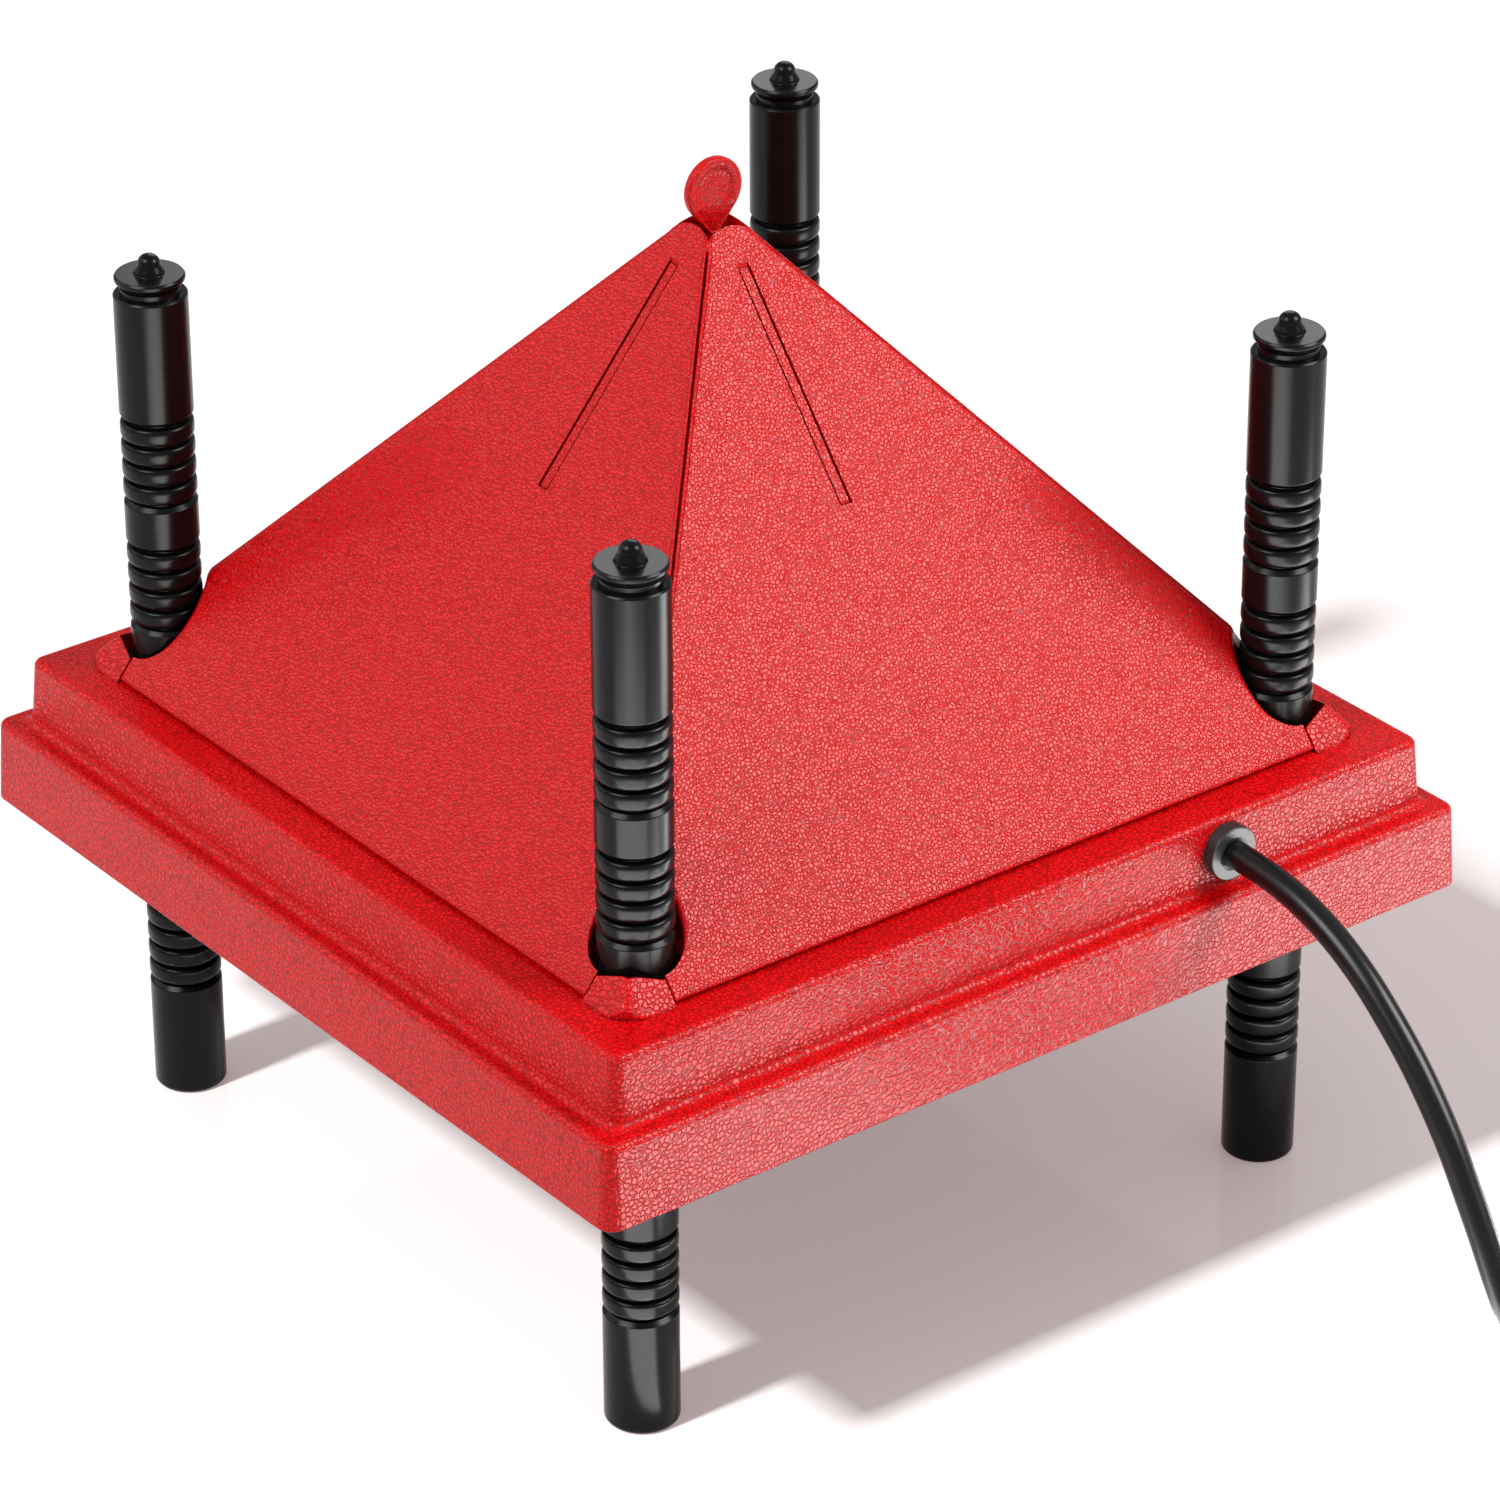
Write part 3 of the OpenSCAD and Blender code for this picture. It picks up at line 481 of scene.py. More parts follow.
def add(
    tree: bpy.types.NodeTree, kind: str, settings: dict[str | int, Any],
    links: dict[str | int, bpy.types.NodeSocket],
) -> bpy.types.Node:
    """Adds a node with its settings and links.

    Args:
        tree: the node tree.
        kind: the node's type name.
        settings: properties by name, and socket values by number or by a name that isn't a property.
        links: the output that feeds each input, by the input's name or number.

    Returns:
        The node.
    """
    node = tree.nodes.new(kind)
    for key, value in settings.items():
        if isinstance(key, str) and hasattr(node, key):
            setattr(node, key, value)
        else:
            node.inputs[key].default_value = value
    for key, output in links.items():
        tree.links.new(output, node.inputs[key])
    return node


def relief(tree: bpy.types.NodeTree, finish: Finish) -> bpy.types.NodeSocket:
    """Adds the nodes of a finish's pattern, with its scale from its size in millimetres.

    Args:
        tree: the material's node tree.
        finish: the finish.

    Returns:
        The output with the pattern's height, from 0 in the lows to 1 on the highs.
    """
    place = add(tree, "ShaderNodeTexCoord", {}, {}).outputs["Object"]
    scale = 1 / (finish.size_mm * MM)
    if finish.pattern is Pattern.LEATHER:
        wander = {"Scale": scale / WANDER, "Detail": PIT_DETAIL}
        stray = add(tree, "ShaderNodeTexNoise", wander, {"Vector": place}).outputs["Color"]
        sway = {"operation": "MULTIPLY_ADD", 1: (SWAY * finish.size_mm * MM,) * 3}
        bent = add(tree, "ShaderNodeVectorMath", sway, {0: stray, 2: place}).outputs[0]
        edges = {"feature": "DISTANCE_TO_EDGE", "Scale": scale}
        cells = add(tree, "ShaderNodeTexVoronoi", edges, {"Vector": bent}).outputs["Distance"]
        crease = {"interpolation_type": "SMOOTHSTEP", "From Max": CREASE}
        return add(tree, "ShaderNodeMapRange", crease, {"Value": cells}).outputs["Result"]
    if finish.pattern is Pattern.BRUSHED:
        stretch = {"Scale": (scale / LINE_RATIO, scale, scale)}
        drawn = add(tree, "ShaderNodeMapping", stretch, {"Vector": place}).outputs[0]
        lines = {"Scale": 1.0, "Detail": LINE_DETAIL}
        return add(tree, "ShaderNodeTexNoise", lines, {"Vector": drawn}).outputs[0]
    if finish.pattern is Pattern.WOVEN:
        waves = [{"bands_direction": way, "Scale": scale / WAVE_RATIO} for way in ("X", "Y")]
        across, along = (add(tree, "ShaderNodeTexWave", w, {"Vector": place}).outputs["Fac"] for w in waves)
        return add(tree, "ShaderNodeMath", {"operation": "MAXIMUM"}, {0: across, 1: along}).outputs[0]
    detail = FIBRE_DETAIL if finish.pattern is Pattern.FIBRE else PIT_DETAIL
    return add(tree, "ShaderNodeTexNoise", {"Scale": scale, "Detail": detail}, {"Vector": place}).outputs[0]


def cleared(owner: bpy.types.Material | bpy.types.World) -> bpy.types.NodeTree:
    """Turns on the nodes of a material or world and empties them.

    Args:
        owner: the material or world.

    Returns:
        Its empty node tree.
    """
    owner.use_nodes = True
    owner.node_tree.nodes.clear()
    return owner.node_tree


def material(finish: Finish) -> bpy.types.Material:
    """Makes, or finds, the material of a finish.

    Args:
        finish: the finish.

    Returns:
        Its material: the pattern mixes its two colours, sets its roughness and raises its relief, and shade
            is painted into slits and sharp inner corners where the finish asks for it.
    """
    if finish.name in bpy.data.materials:
        return bpy.data.materials[finish.name]
    made = bpy.data.materials.new(finish.name)
    tree = cleared(made)
    height = relief(tree, finish)
    blend = {"data_type": "RGBA", 6: linear(finish.low_colour), 7: linear(finish.colour)}
    colour = add(tree, "ShaderNodeMix", blend, {0: height})
    # Painted shade: where ambient occlusion finds a slit or a sharp inner corner, the colour is mixed towards
    # a dark red.
    if finish.painted_shade_mm:
        near = {"samples": SHADE_RAYS, "only_local": True, "Distance": finish.painted_shade_mm * MM}
        clear = add(tree, "ShaderNodeAmbientOcclusion", near, {}).outputs["AO"]
        open_range = dict(zip(("From Min", "From Max"), SHADE_OPEN))
        unshaded = add(tree, "ShaderNodeMapRange", open_range, {"Value": clear})
        shade_mix = {"data_type": "RGBA", 6: linear(finish.painted_shade_colour)}
        colour = add(tree, "ShaderNodeMix", shade_mix, {0: unshaded.outputs["Result"], 7: colour.outputs[2]})
    low, high = finish.roughness
    rough = add(tree, "ShaderNodeMapRange", {"To Min": high, "To Max": low}, {"Value": height})
    raised = {"Distance": finish.depth_mm * MM, "Strength": 1.0}
    bump = add(tree, "ShaderNodeBump", raised, {"Height": height})
    settings = {"Metallic": float(finish.metallic), "Specular IOR Level": finish.specular}
    if not finish.metallic:
        settings["IOR"] = finish.ior
    links = {
        "Base Color": colour.outputs[2], "Roughness": rough.outputs["Result"],
        "Normal": bump.outputs["Normal"],
    }
    shader = add(tree, "ShaderNodeBsdfPrincipled", settings, links)
    add(tree, "ShaderNodeOutputMaterial", {}, {"Surface": shader.outputs["BSDF"]})
    return made


def make(name: str, skin: Skin, finish: Finish, body: str, nodes: Sequence[str]) -> bpy.types.Object:
    """Puts a surface into the scene as one piece.

    Args:
        name: the piece's name.
        skin: its surface in millimetres.
        finish: its finish.
        body: the body that it rides on.
        nodes: the solids that it stands for.

    Returns:
        The piece.
    """
    mesh = bpy.data.meshes.new(name)
    mesh.vertices.add(len(skin.points))
    mesh.vertices.foreach_set("co", (skin.points * MM).astype(np.float32).ravel())
    corners = np.concatenate([f.ravel() for f in skin.faces]).astype(np.int32)
    counts = np.concatenate([np.full(len(f), f.shape[1]) for f in skin.faces])
    mesh.loops.add(len(corners))
    mesh.loops.foreach_set("vertex_index", corners)
    mesh.polygons.add(len(counts))
    mesh.polygons.foreach_set("loop_start", (np.cumsum(counts) - counts).astype(np.int32))
    mesh.update(calc_edges=True)
    work = bmesh.new()
    work.from_mesh(mesh)
    bmesh.ops.remove_doubles(work, verts=work.verts, dist=MERGE)
    bmesh.ops.recalc_face_normals(work, faces=work.faces)
    work.to_mesh(mesh)
    work.free()
    mesh.polygons.foreach_set("use_smooth", np.ones(len(mesh.polygons), dtype=bool))
    mesh.set_sharp_from_angle(angle=math.radians(SHARP_TURN))
    mesh.materials.append(material(finish))
    piece = bpy.data.objects.new(name, mesh)
    bpy.context.scene.collection.objects.link(piece)
    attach(piece, body)
    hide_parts(*nodes)
    LOG.info("%s: %d faces on %s", name, len(mesh.polygons), body)
    return piece


# The object's pieces


@dataclass
class Sizes:
    """Sizes that more than one sub-assembly shares, in millimetres.

    Attributes:
        plate_half: half width of the plate at its foot.
        rise: height of its underside over the floor.
        lower_h: height of the lower tier.
        upper_h: height of the upper tier.
        lower_draft: how far the lower wall leans in.
        ledge_w: width of the ledge between the tiers.
        upper_draft: how far the upper wall leans in.
        cover_margin: width of the deck outside the cover.
        cover_gap: height of the cover's lower edge over the deck.
        cover_pitch: slope of the cover, in degrees.
        panel_drop: upright thickness of a cover panel.
        leg_inset: distance of a leg's axis inside the cover's lower edge.
        leg_r: radius of a leg.
        slit: width of the slits between panels and lugs.
        corners: name of each leg, and the signs of its place.
    """

    plate_half: float = 150.0
    rise: float = 92.0
    lower_h: float = 25.0
    upper_h: float = 20.5
    lower_draft: float = 1.5
    ledge_w: float = 6.2
    upper_draft: float = 1.8
    cover_margin: float = 12.0
    cover_gap: float = 1.5
    cover_pitch: float = 50.0
    panel_drop: float = 3.89
    leg_inset: float = 16.9
    leg_r: float = 10.5
    slit: float = 0.6
    corners: tuple[tuple[str, int, int], ...] = (
        ("front", -1, -1), ("right", 1, -1), ("back", 1, 1), ("left", -1, 1),
    )

    @property
    def lower_top_half(self) -> float:
        """Half width of the lower tier at its top."""
        return self.plate_half - self.lower_draft

    @property
    def upper_foot_half(self) -> float:
        """Half width of the upper tier at its foot."""
        return self.lower_top_half - self.ledge_w

    @property
    def upper_top_half(self) -> float:
        """Half width of the upper tier at its top."""
        return self.upper_foot_half - self.upper_draft

    @property
    def cover_half(self) -> float:
        """Half width of the cover at its lower edge."""
        return self.upper_top_half - self.cover_margin

    @property
    def leg_x(self) -> float:
        """Distance of the legs' axes from the centre lines."""
        return self.cover_half - self.leg_inset

    @property
    def slope(self) -> float:
        """Rise of the cover over its run."""
        return math.tan(math.radians(self.cover_pitch))

    @property
    def ledge_z(self) -> float:
        """Height of the ledge between the tiers."""
        return self.rise + self.lower_h

    @property
    def top_z(self) -> float:
        """Height of the deck."""
        return self.ledge_z + self.upper_h

    @property
    def cover_z(self) -> float:
        """Height of the cover's lower edge."""
        return self.top_z + self.cover_gap

    @property
    def apex_z(self) -> float:
        """Height at which the planes of the cover meet."""
        return self.cover_z + self.cover_half * self.slope

    def roof(self, x: np.ndarray, y: np.ndarray, blunt: float) -> np.ndarray:
        """Height of the cover's planes: the apex less the slope times the greater distance from the middle.

        The greater of a and b is their mean plus the root of half their difference squared plus blunt
        squared, so a blunt above zero rounds the hip.

        Args:
            x: places along X.
            y: places along Y.
            blunt: how far the hip is rounded.

        Returns:
            The heights.
        """
        a, b = np.abs(x), np.abs(y)
        return self.apex_z - self.slope * ((a + b) / 2 + np.sqrt((a - b) ** 2 / 4 + blunt**2))


@dataclass
class Housing:
    """Stepped housing with a rounded rim on each tier, and a lug at each corner.

    Attributes:
        sizes: shared sizes.
        wall_t: thickness of the wall at its foot.
        foot_r: radii of the inner and the outer edge of the wall's foot.
        edge_r: radius of the top edges.
        fillet_r: radius in the corner between the ledge and the upper wall.
        corner_r: radius of each tier's upright corners at its foot.
        least_r: least radius that those corners narrow to.
        deck_half: half width at which the rim's rings end and the flat deck begins.
        hole_gap: clearance round each leg.
        hole_depth: depth to which the holes are drawn.
        hole_edge: bevel of their edges.
        hole_points: points round each hole.
        lug_proud: how far the lugs stand out past the cover.
        lug_corner_r: radius of a lug's outer corner.
        lug_face: distance of a lug's inner end from the leg's axis, along an axis.
        lug_bend: the same distance at the diagonal.
        lug_edge_r: radius of a lug's edges.
        lug_blunt: how far the hip of a lug is rounded.
        lug_sink: depths below the deck of a lug's foot, and of its edge where the roof runs out.
        lug_points: points along half a lug.
        per_corner: points on each rounded corner.
        per_edge: points across a rounded edge of the rim, and of a lug.
    """

    sizes: Sizes
    wall_t: float = 2.5
    foot_r: tuple[float, float] = (0.4, 0.5)
    edge_r: float = 2.2
    fillet_r: float = 2.8
    corner_r: float = 5.2
    least_r: float = 0.3
    deck_half: float = 126.0
    hole_gap: float = 0.1
    hole_depth: float = 8.0
    hole_edge: float = 0.4
    hole_points: int = 64
    lug_proud: float = 1.1
    lug_corner_r: float = 10.0
    lug_face: float = 12.75
    lug_bend: float = 9.95
    lug_edge_r: float = 0.6
    lug_blunt: float = 0.7
    lug_sink: tuple[float, float] = (1.0, 0.5)
    lug_points: int = 32
    per_corner: int = 14
    per_edge: tuple[int, int] = (9, 5)

    def rim(self) -> Skin:
        """Builds both tiers: a wall section carried round a square whose corner radius follows the section.

        Returns:
            The walls and ledges, from the inside of the foot to the edge of the flat deck.
        """
        s = self.sizes
        inner = s.plate_half - self.wall_t
        line = rounded([
            (inner, s.rise + self.wall_t, 0), (inner, s.rise, self.foot_r[0]),
            (s.plate_half, s.rise, self.foot_r[1]), (s.lower_top_half, s.ledge_z, self.edge_r),
            (s.upper_foot_half, s.ledge_z, self.fillet_r), (s.upper_top_half, s.top_z, self.edge_r),
            (self.deck_half, s.top_z, 0),
        ], steps=self.per_edge[0], guard=0.15)
        half, z = line[:, 0], line[:, 1]
        lower_r = self.corner_r - (s.plate_half - half)
        upper_r = self.corner_r - (s.upper_foot_half - half)
        from_half = s.lower_top_half - self.edge_r
        blend = np.clip((from_half - half) / (from_half - s.upper_foot_half), 0, 1)
        radius = np.maximum(lower_r + blend * (upper_r - lower_r), self.least_r)
        quarter = np.arange(4)[:, None] * math.pi / 2
        angle = (quarter + quarter_angles(self.per_corner)).ravel()
        axis = np.repeat(quarter[:, 0] + math.pi / 4, self.per_corner)
        centre = (half - radius)[:, None] * math.sqrt(2)
        x = centre * np.cos(axis) + radius[:, None] * np.cos(angle)
        y = centre * np.sin(axis) + radius[:, None] * np.sin(angle)
        return grid(np.stack([x, y, z[:, None] + 0 * x], axis=2), wrap_cols=True)

    def deck(self) -> Skin:
        """Builds the flat deck: round each leg a patch from circle to square, and plain quads between.

        Returns:
            The deck with its four holes.
        """
        s = self.sizes
        reach = self.deck_half - s.leg_x
        hole_r = s.leg_r + self.hole_gap
        a = round_angles(self.hole_points) + math.pi / 4
        ring = np.stack([np.cos(a), np.sin(a)], axis=1)
        square = ring / np.abs(ring).max(axis=1, keepdims=True) * reach
        rows = [
            (ring * hole_r, s.top_z - self.hole_depth), (ring * hole_r, s.top_z - self.hole_edge),
            (ring * (hole_r + self.hole_edge), s.top_z), (square, s.top_z),
        ]
        patch = grid(np.stack([np.column_stack([p, np.full(len(p), z)]) for p, z in rows]), wrap_cols=True)
        patches = [patch.moved((sx * s.leg_x, sy * s.leg_x, 0)) for _, sx, sy in s.corners]
        low = s.leg_x - reach
        marks = np.array([-self.deck_half, -low, low, self.deck_half])
        x, y = np.meshgrid(marks, marks, indexing="ij")
        sheet = grid(np.stack([x, y, 0 * x + s.top_z], axis=2))
        # Of the nine quads between the marks, the four at the corners give way to the legs' patches.
        plain = sheet.faces[0][[1, 3, 4, 5, 7]]
        return joined(patches + [Skin(sheet.points, [plain])])

    def lug_sides(self) -> tuple[np.ndarray, np.ndarray]:
        """Draws half of a lug's plan, from the diagonal to the slit: its inner line and its outer line.

        The inner line is straight. The outer line is an eighth of a circle and a straight. Both get the
        same number of points, spaced by length.

        Returns:
            The inner and the outer points, as offsets from the leg's axis.
        """
        s = self.sizes
        inner = np.array([[self.lug_bend, self.lug_bend], [s.slit / 2, self.lug_face]])
        out = s.cover_half + self.lug_proud - s.leg_x
        a = np.linspace(math.pi / 4, math.pi / 2, self.per_corner)
        arc = out - self.lug_corner_r + self.lug_corner_r * np.column_stack([np.cos(a), np.sin(a)])
        outer = np.concatenate([arc, [[s.slit / 2, out]]])
        return spaced(inner, self.lug_points), spaced(outer, self.lug_points)

    def lug(self) -> Skin:
        """Builds one lug: sections from its inner to its outer line, with rounded edges, up to the roof.

        Returns:
            The closed lug.
        """
        s = self.sizes
        inner, outer = (np.concatenate([side[:0:-1, ::-1], side]) + s.leg_x for side in self.lug_sides())
        ahead = unit(outer - inner)
        foot_z, low_z = (s.top_z - sink for sink in self.lug_sink)
        r = self.lug_edge_r
        bend = quarter_angles(self.per_edge[1])
        rows = [np.column_stack([inner, np.full(len(inner), foot_z)])]
        for side, way, order in ((inner, ahead, bend), (outer, -ahead, bend[::-1])):
            for angle in order:
                place = side + way * r * (1 - math.cos(angle))
                height = s.roof(place[:, 0], place[:, 1], self.lug_blunt) - r * (1 - math.sin(angle))
                rows.append(np.column_stack([place, np.maximum(height, low_z)]))
        rows.append(np.column_stack([outer, np.full(len(outer), foot_z)]))
        return capped(np.stack(rows, axis=1))

    def build(self) -> None:
        """Builds the housing as one piece that stands for its solid."""
        lugs = [self.lug().turned(90 * k) for k in range(4)]
        make("housing_shell", joined([self.rim(), self.deck()] + lugs), GRAINED_ABS, "plate", ["housing"])


@dataclass
class Cover:
    """Four sloping panels with turned-in hip lips and a pressed channel each.

    Attributes:
        sizes: shared sizes.
        lip_drop: upright depth of a hip lip.
        lip_t: thickness of a lip.
        lip_from: distance from the middle at which the lips begin, and the run over which they grow.
        lip_to: distance from the cuts round the legs at which they end, and the run over which they fade.
        hip_step: distance of a hip edge from the diagonal, along an axis.
        notch_r: radius of the cut round each leg.
        notch_share: share of that radius at which the hip runs into the cut.
        tip_y: distance of the panel's blunt tip from the middle.
        tip_half: half width of the blunt tip.
        tip_r: radius of the tip's corners.
        edge_r: width of the bead along the hip edges.
        bead_in: places across that bead, from its step to the edge, as shares of its width.
        bead_down: its depths at those places, as shares of its width.
        notch_edge_r: radius of the edge of the cuts round the legs.
        side_edge_r: radius of the edge at the side of the foot.
        edge_marks: places from the leg's axis at which the bead ends, the cut's edge begins and it ends.
        edge_share: greatest share of the panel's depth that an edge takes.
        edge_least: least width of an edge.
        foot_round: run and drop of the rounding at the lower edge.
        seam: from and to of the pressed channel, as distances from the middle.
        seam_half: half width of the channel.
        seam_drop: upright depth of the channel's floor, and of the slot inside its outline.
        seam_slot: width of that slot.
        seam_wall: run of the slot's walls.
        rib_drop: upright depth of the rib under the channel.
        rib_ends: distances past the channel's ends of the rib's foot and edge.
        rib_sides: distances past the channel's sides of the rib's foot and edge.
        rib_shares: greatest shares of the room between the lips that these take.
        guard: distance of the points that keep flat faces flat beside the channel.
        edge_guard: the same beside the edges.
        inner_least: least half width between the lips.
        tip_rows: number of rows on the blunt tip.
        seam_row: distance of the last row of a channel's end inside that end.
        plain_rows: first, last and number of the rows on the plain stretch.
        notch_rows: first and last angle, and number, of the rows on the cut round a leg.
        foot_rows: distances of the last rows from the lower edge.
        names: the panels' solids, in turns of 90 degrees.
    """

    sizes: Sizes
    lip_drop: float = 12.4
    lip_t: float = 2.2
    lip_from: tuple[float, float] = (9.0, 3.0)
    lip_to: tuple[float, float] = (3.0, 4.0)
    hip_step: float = 0.55
    notch_r: float = 12.3
    notch_share: float = 0.7
    tip_y: float = 5.87
    tip_half: float = 2.2
    tip_r: float = 3.2
    edge_r: float = 1.6
    bead_in: tuple[float, ...] = (1.0, 0.84, 0.8, 0.3, 0.12, 0.03, 0.0)
    bead_down: tuple[float, ...] = (0.0, 0.24, 0.26, 0.26, 0.32, 0.44, 0.62)
    notch_edge_r: float = 1.8
    side_edge_r: float = 0.4
    edge_marks: tuple[float, float, float] = (-16.0, -10.0, 8.0)
    edge_share: float = 0.6
    edge_least: float = 0.05
    foot_round: tuple[float, float] = (0.6, 0.35)
    seam: tuple[float, float] = (12.85, 59.1)
    seam_half: float = 2.05
    seam_drop: tuple[float, float] = (0.5, 5.6)
    seam_slot: float = 0.65
    seam_wall: float = 0.02
    rib_drop: float = 3.4
    rib_ends: tuple[float, float] = (1.4, 0.6)
    rib_sides: tuple[float, float] = (1.3, 1.1)
    rib_shares: tuple[float, float] = (0.9, 0.8)
    guard: float = 0.2
    edge_guard: float = 0.3
    inner_least: float = 0.3
    tip_rows: int = 8
    seam_row: float = 1.2
    plain_rows: tuple[float, float, int] = (16.0, 95.0, 14)
    notch_rows: tuple[float, float, int] = (-50.0, 89.0, 34)
    foot_rows: tuple[float, ...] = (2.9, 2.4, 1.2, 0.6, 0.3, 0.1, 0.0)
    names: tuple[str, ...] = ("panel_right", "panel_back_right", "panel_back_left", "panel_left")

    def rows(self) -> np.ndarray:
        """Lists the distances from the middle at which a panel's section is drawn, closer where it changes.

        Returns:
            The distances, in order.
        """
        s = self.sizes
        tip = self.tip_y + self.tip_r * (1 - np.cos(quarter_angles(self.tip_rows)))
        foot, edge = self.rib_ends
        slot, wall = self.seam_slot, self.seam_wall
        inward = np.array([-foot, -edge, 0.0, wall, slot, slot + wall, self.seam_row])
        seam = np.concatenate([self.seam[0] + inward, self.seam[1] - inward])
        notch = s.leg_x + self.notch_r * np.sin(np.radians(np.linspace(*self.notch_rows)))
        last = s.cover_half - np.array(self.foot_rows)
        # Rows within the same thousandth of a millimetre become one.
        return np.unique(np.round(np.concatenate([tip, seam, np.linspace(*self.plain_rows), notch, last]), 3))

    def half_width(self, t: np.ndarray) -> np.ndarray:
        """Half width of a panel: the least of its hip edge, leg notch and side, with a round tip.

        Args:
            t: distances from the middle.

        Returns:
            The half widths there.
        """
        s = self.sizes
        reach = np.clip(self.notch_r**2 - (t - s.leg_x) ** 2, 0, None)
        notch = np.where(np.abs(t - s.leg_x) < self.notch_r, s.leg_x - np.sqrt(reach), np.inf)
        into = np.clip((t - self.tip_y) / self.tip_r, 0, 1)
        full = self.tip_y + self.tip_r - self.hip_step
        tip = self.tip_half + (full - self.tip_half) * np.sqrt(1 - (1 - into) ** 2)
        wide = np.where(into < 1, tip, t - self.hip_step)
        return np.minimum(np.minimum(wide, notch), s.leg_x - s.slit / 2)

    def lip_on(self, t: np.ndarray) -> np.ndarray:
        """Gives the share of the lips' depth that is there: it grows below the tip and fades at the legs.

        Args:
            t: distances from the middle.

        Returns:
            The shares.
        """
        start, grow = self.lip_from
        clear, fade = self.lip_to
        end = self.sizes.leg_x - self.notch_r * self.notch_share - clear
        return np.clip((end - t) / fade, 0, 1) * np.clip((t - start) / grow, 0, 1)

    def channel(self, from_end: np.ndarray, from_side: np.ndarray) -> np.ndarray:
        """Gives the depth of the pressed channel: a shallow floor, and a slot just inside its whole outline.

        Args:
            from_end: distance from the nearer end.
            from_side: distance from the nearer side.

        Returns:
            The upright depths.
        """
        inside = np.minimum(from_end, from_side)
        floor, deep = self.seam_drop
        slot, wall = self.seam_slot, self.seam_wall
        return np.interp(inside, [0, wall, slot, slot + wall], [0, deep, deep, floor])

    def edge(
        self, t: np.ndarray, wide: np.ndarray, top: np.ndarray, room: np.ndarray,
    ) -> tuple[np.ndarray, np.ndarray, np.ndarray]:
        """Draws a panel's edge: a bead along the hip, which turns into a quarter round beside the leg.

        Args:
            t: distances from the middle, as a column.
            wide: half widths there.
            top: heights of the outside there.
            room: depths of the section there.

        Returns:
            The edge's width, and the places across and heights of its points.
        """
        s = self.sizes
        marks = [s.leg_x + m for m in self.edge_marks] + [s.leg_x + self.notch_r]
        r = np.interp(t, marks, [self.edge_r, self.notch_edge_r, self.notch_edge_r, self.side_edge_r])
        r = np.minimum(r, np.maximum(room * self.edge_share, self.edge_least))
        a = quarter_angles(len(self.bead_in))[None, :]
        bead = np.interp(t, marks[:2], [1, 0])
        x = wide - r * (bead * self.bead_in + (1 - bead) * (1 - np.sin(a)))
        z = top - r * (bead * self.bead_down + (1 - bead) * (1 - np.cos(a)))
        return r, x, z

    def panel(self) -> Skin:
        """Builds the panel that faces -Y: at each distance a closed section of top, lips and underside.

        Returns:
            The closed panel.
        """
        s = self.sizes
        t = self.rows()[:, None]
        wide = self.half_width(t)
        run, sag = self.foot_round
        foot = np.clip((t - (s.cover_half - run)) / run, 0, 1)
        top = s.apex_z - s.slope * t - sag * foot**2
        under = np.maximum(top - s.panel_drop, s.cover_z)
        lip = np.maximum(top - s.panel_drop - self.lip_on(t) * (self.lip_drop - s.panel_drop), s.cover_z)
        r, edge_x, edge_z = self.edge(t, wide, top, top - lip)
        half, slot, wall = self.seam_half, self.seam_slot, self.seam_wall
        steps = np.array([0.0, half - slot - wall, half - slot, half - wall, half, half + self.guard])
        seam_x = np.minimum(steps, (wide - r) * steps / (half + 2 * self.guard))
        from_end = np.minimum(t - self.seam[0], self.seam[1] - t)
        seam_z = top - self.channel(from_end, half - steps)
        rib = self.rib_drop * np.interp(-from_end, self.rib_ends[::-1], [1, 0])
        guard_x = np.maximum(wide - r - self.edge_guard, seam_x[:, -1:] + wall)
        inner = np.maximum(wide - self.lip_t * math.sqrt(2), self.inner_least)
        rib_x = [np.minimum(half + w, share * inner) for w, share in zip(self.rib_sides, self.rib_shares)]
        right_x = np.concatenate([seam_x, guard_x, edge_x, wide, inner, inner, *rib_x, 0 * wide], axis=1)
        low = under - rib
        right_z = np.concatenate([seam_z, top, edge_z, lip, lip, under, under, low, low], axis=1)
        x = np.concatenate([right_x, -right_x[:, -2:0:-1]], axis=1)
        z = np.concatenate([right_z, right_z[:, -2:0:-1]], axis=1)
        return capped(np.stack([x, -t + 0 * x, z], axis=2))

    def build(self) -> None:
        """Builds the four panels, each for its own solid."""
        for k, name in enumerate(self.names):
            make(name + "_skin", self.panel().turned(90 * k), FINE_ABS, "cover", [name])


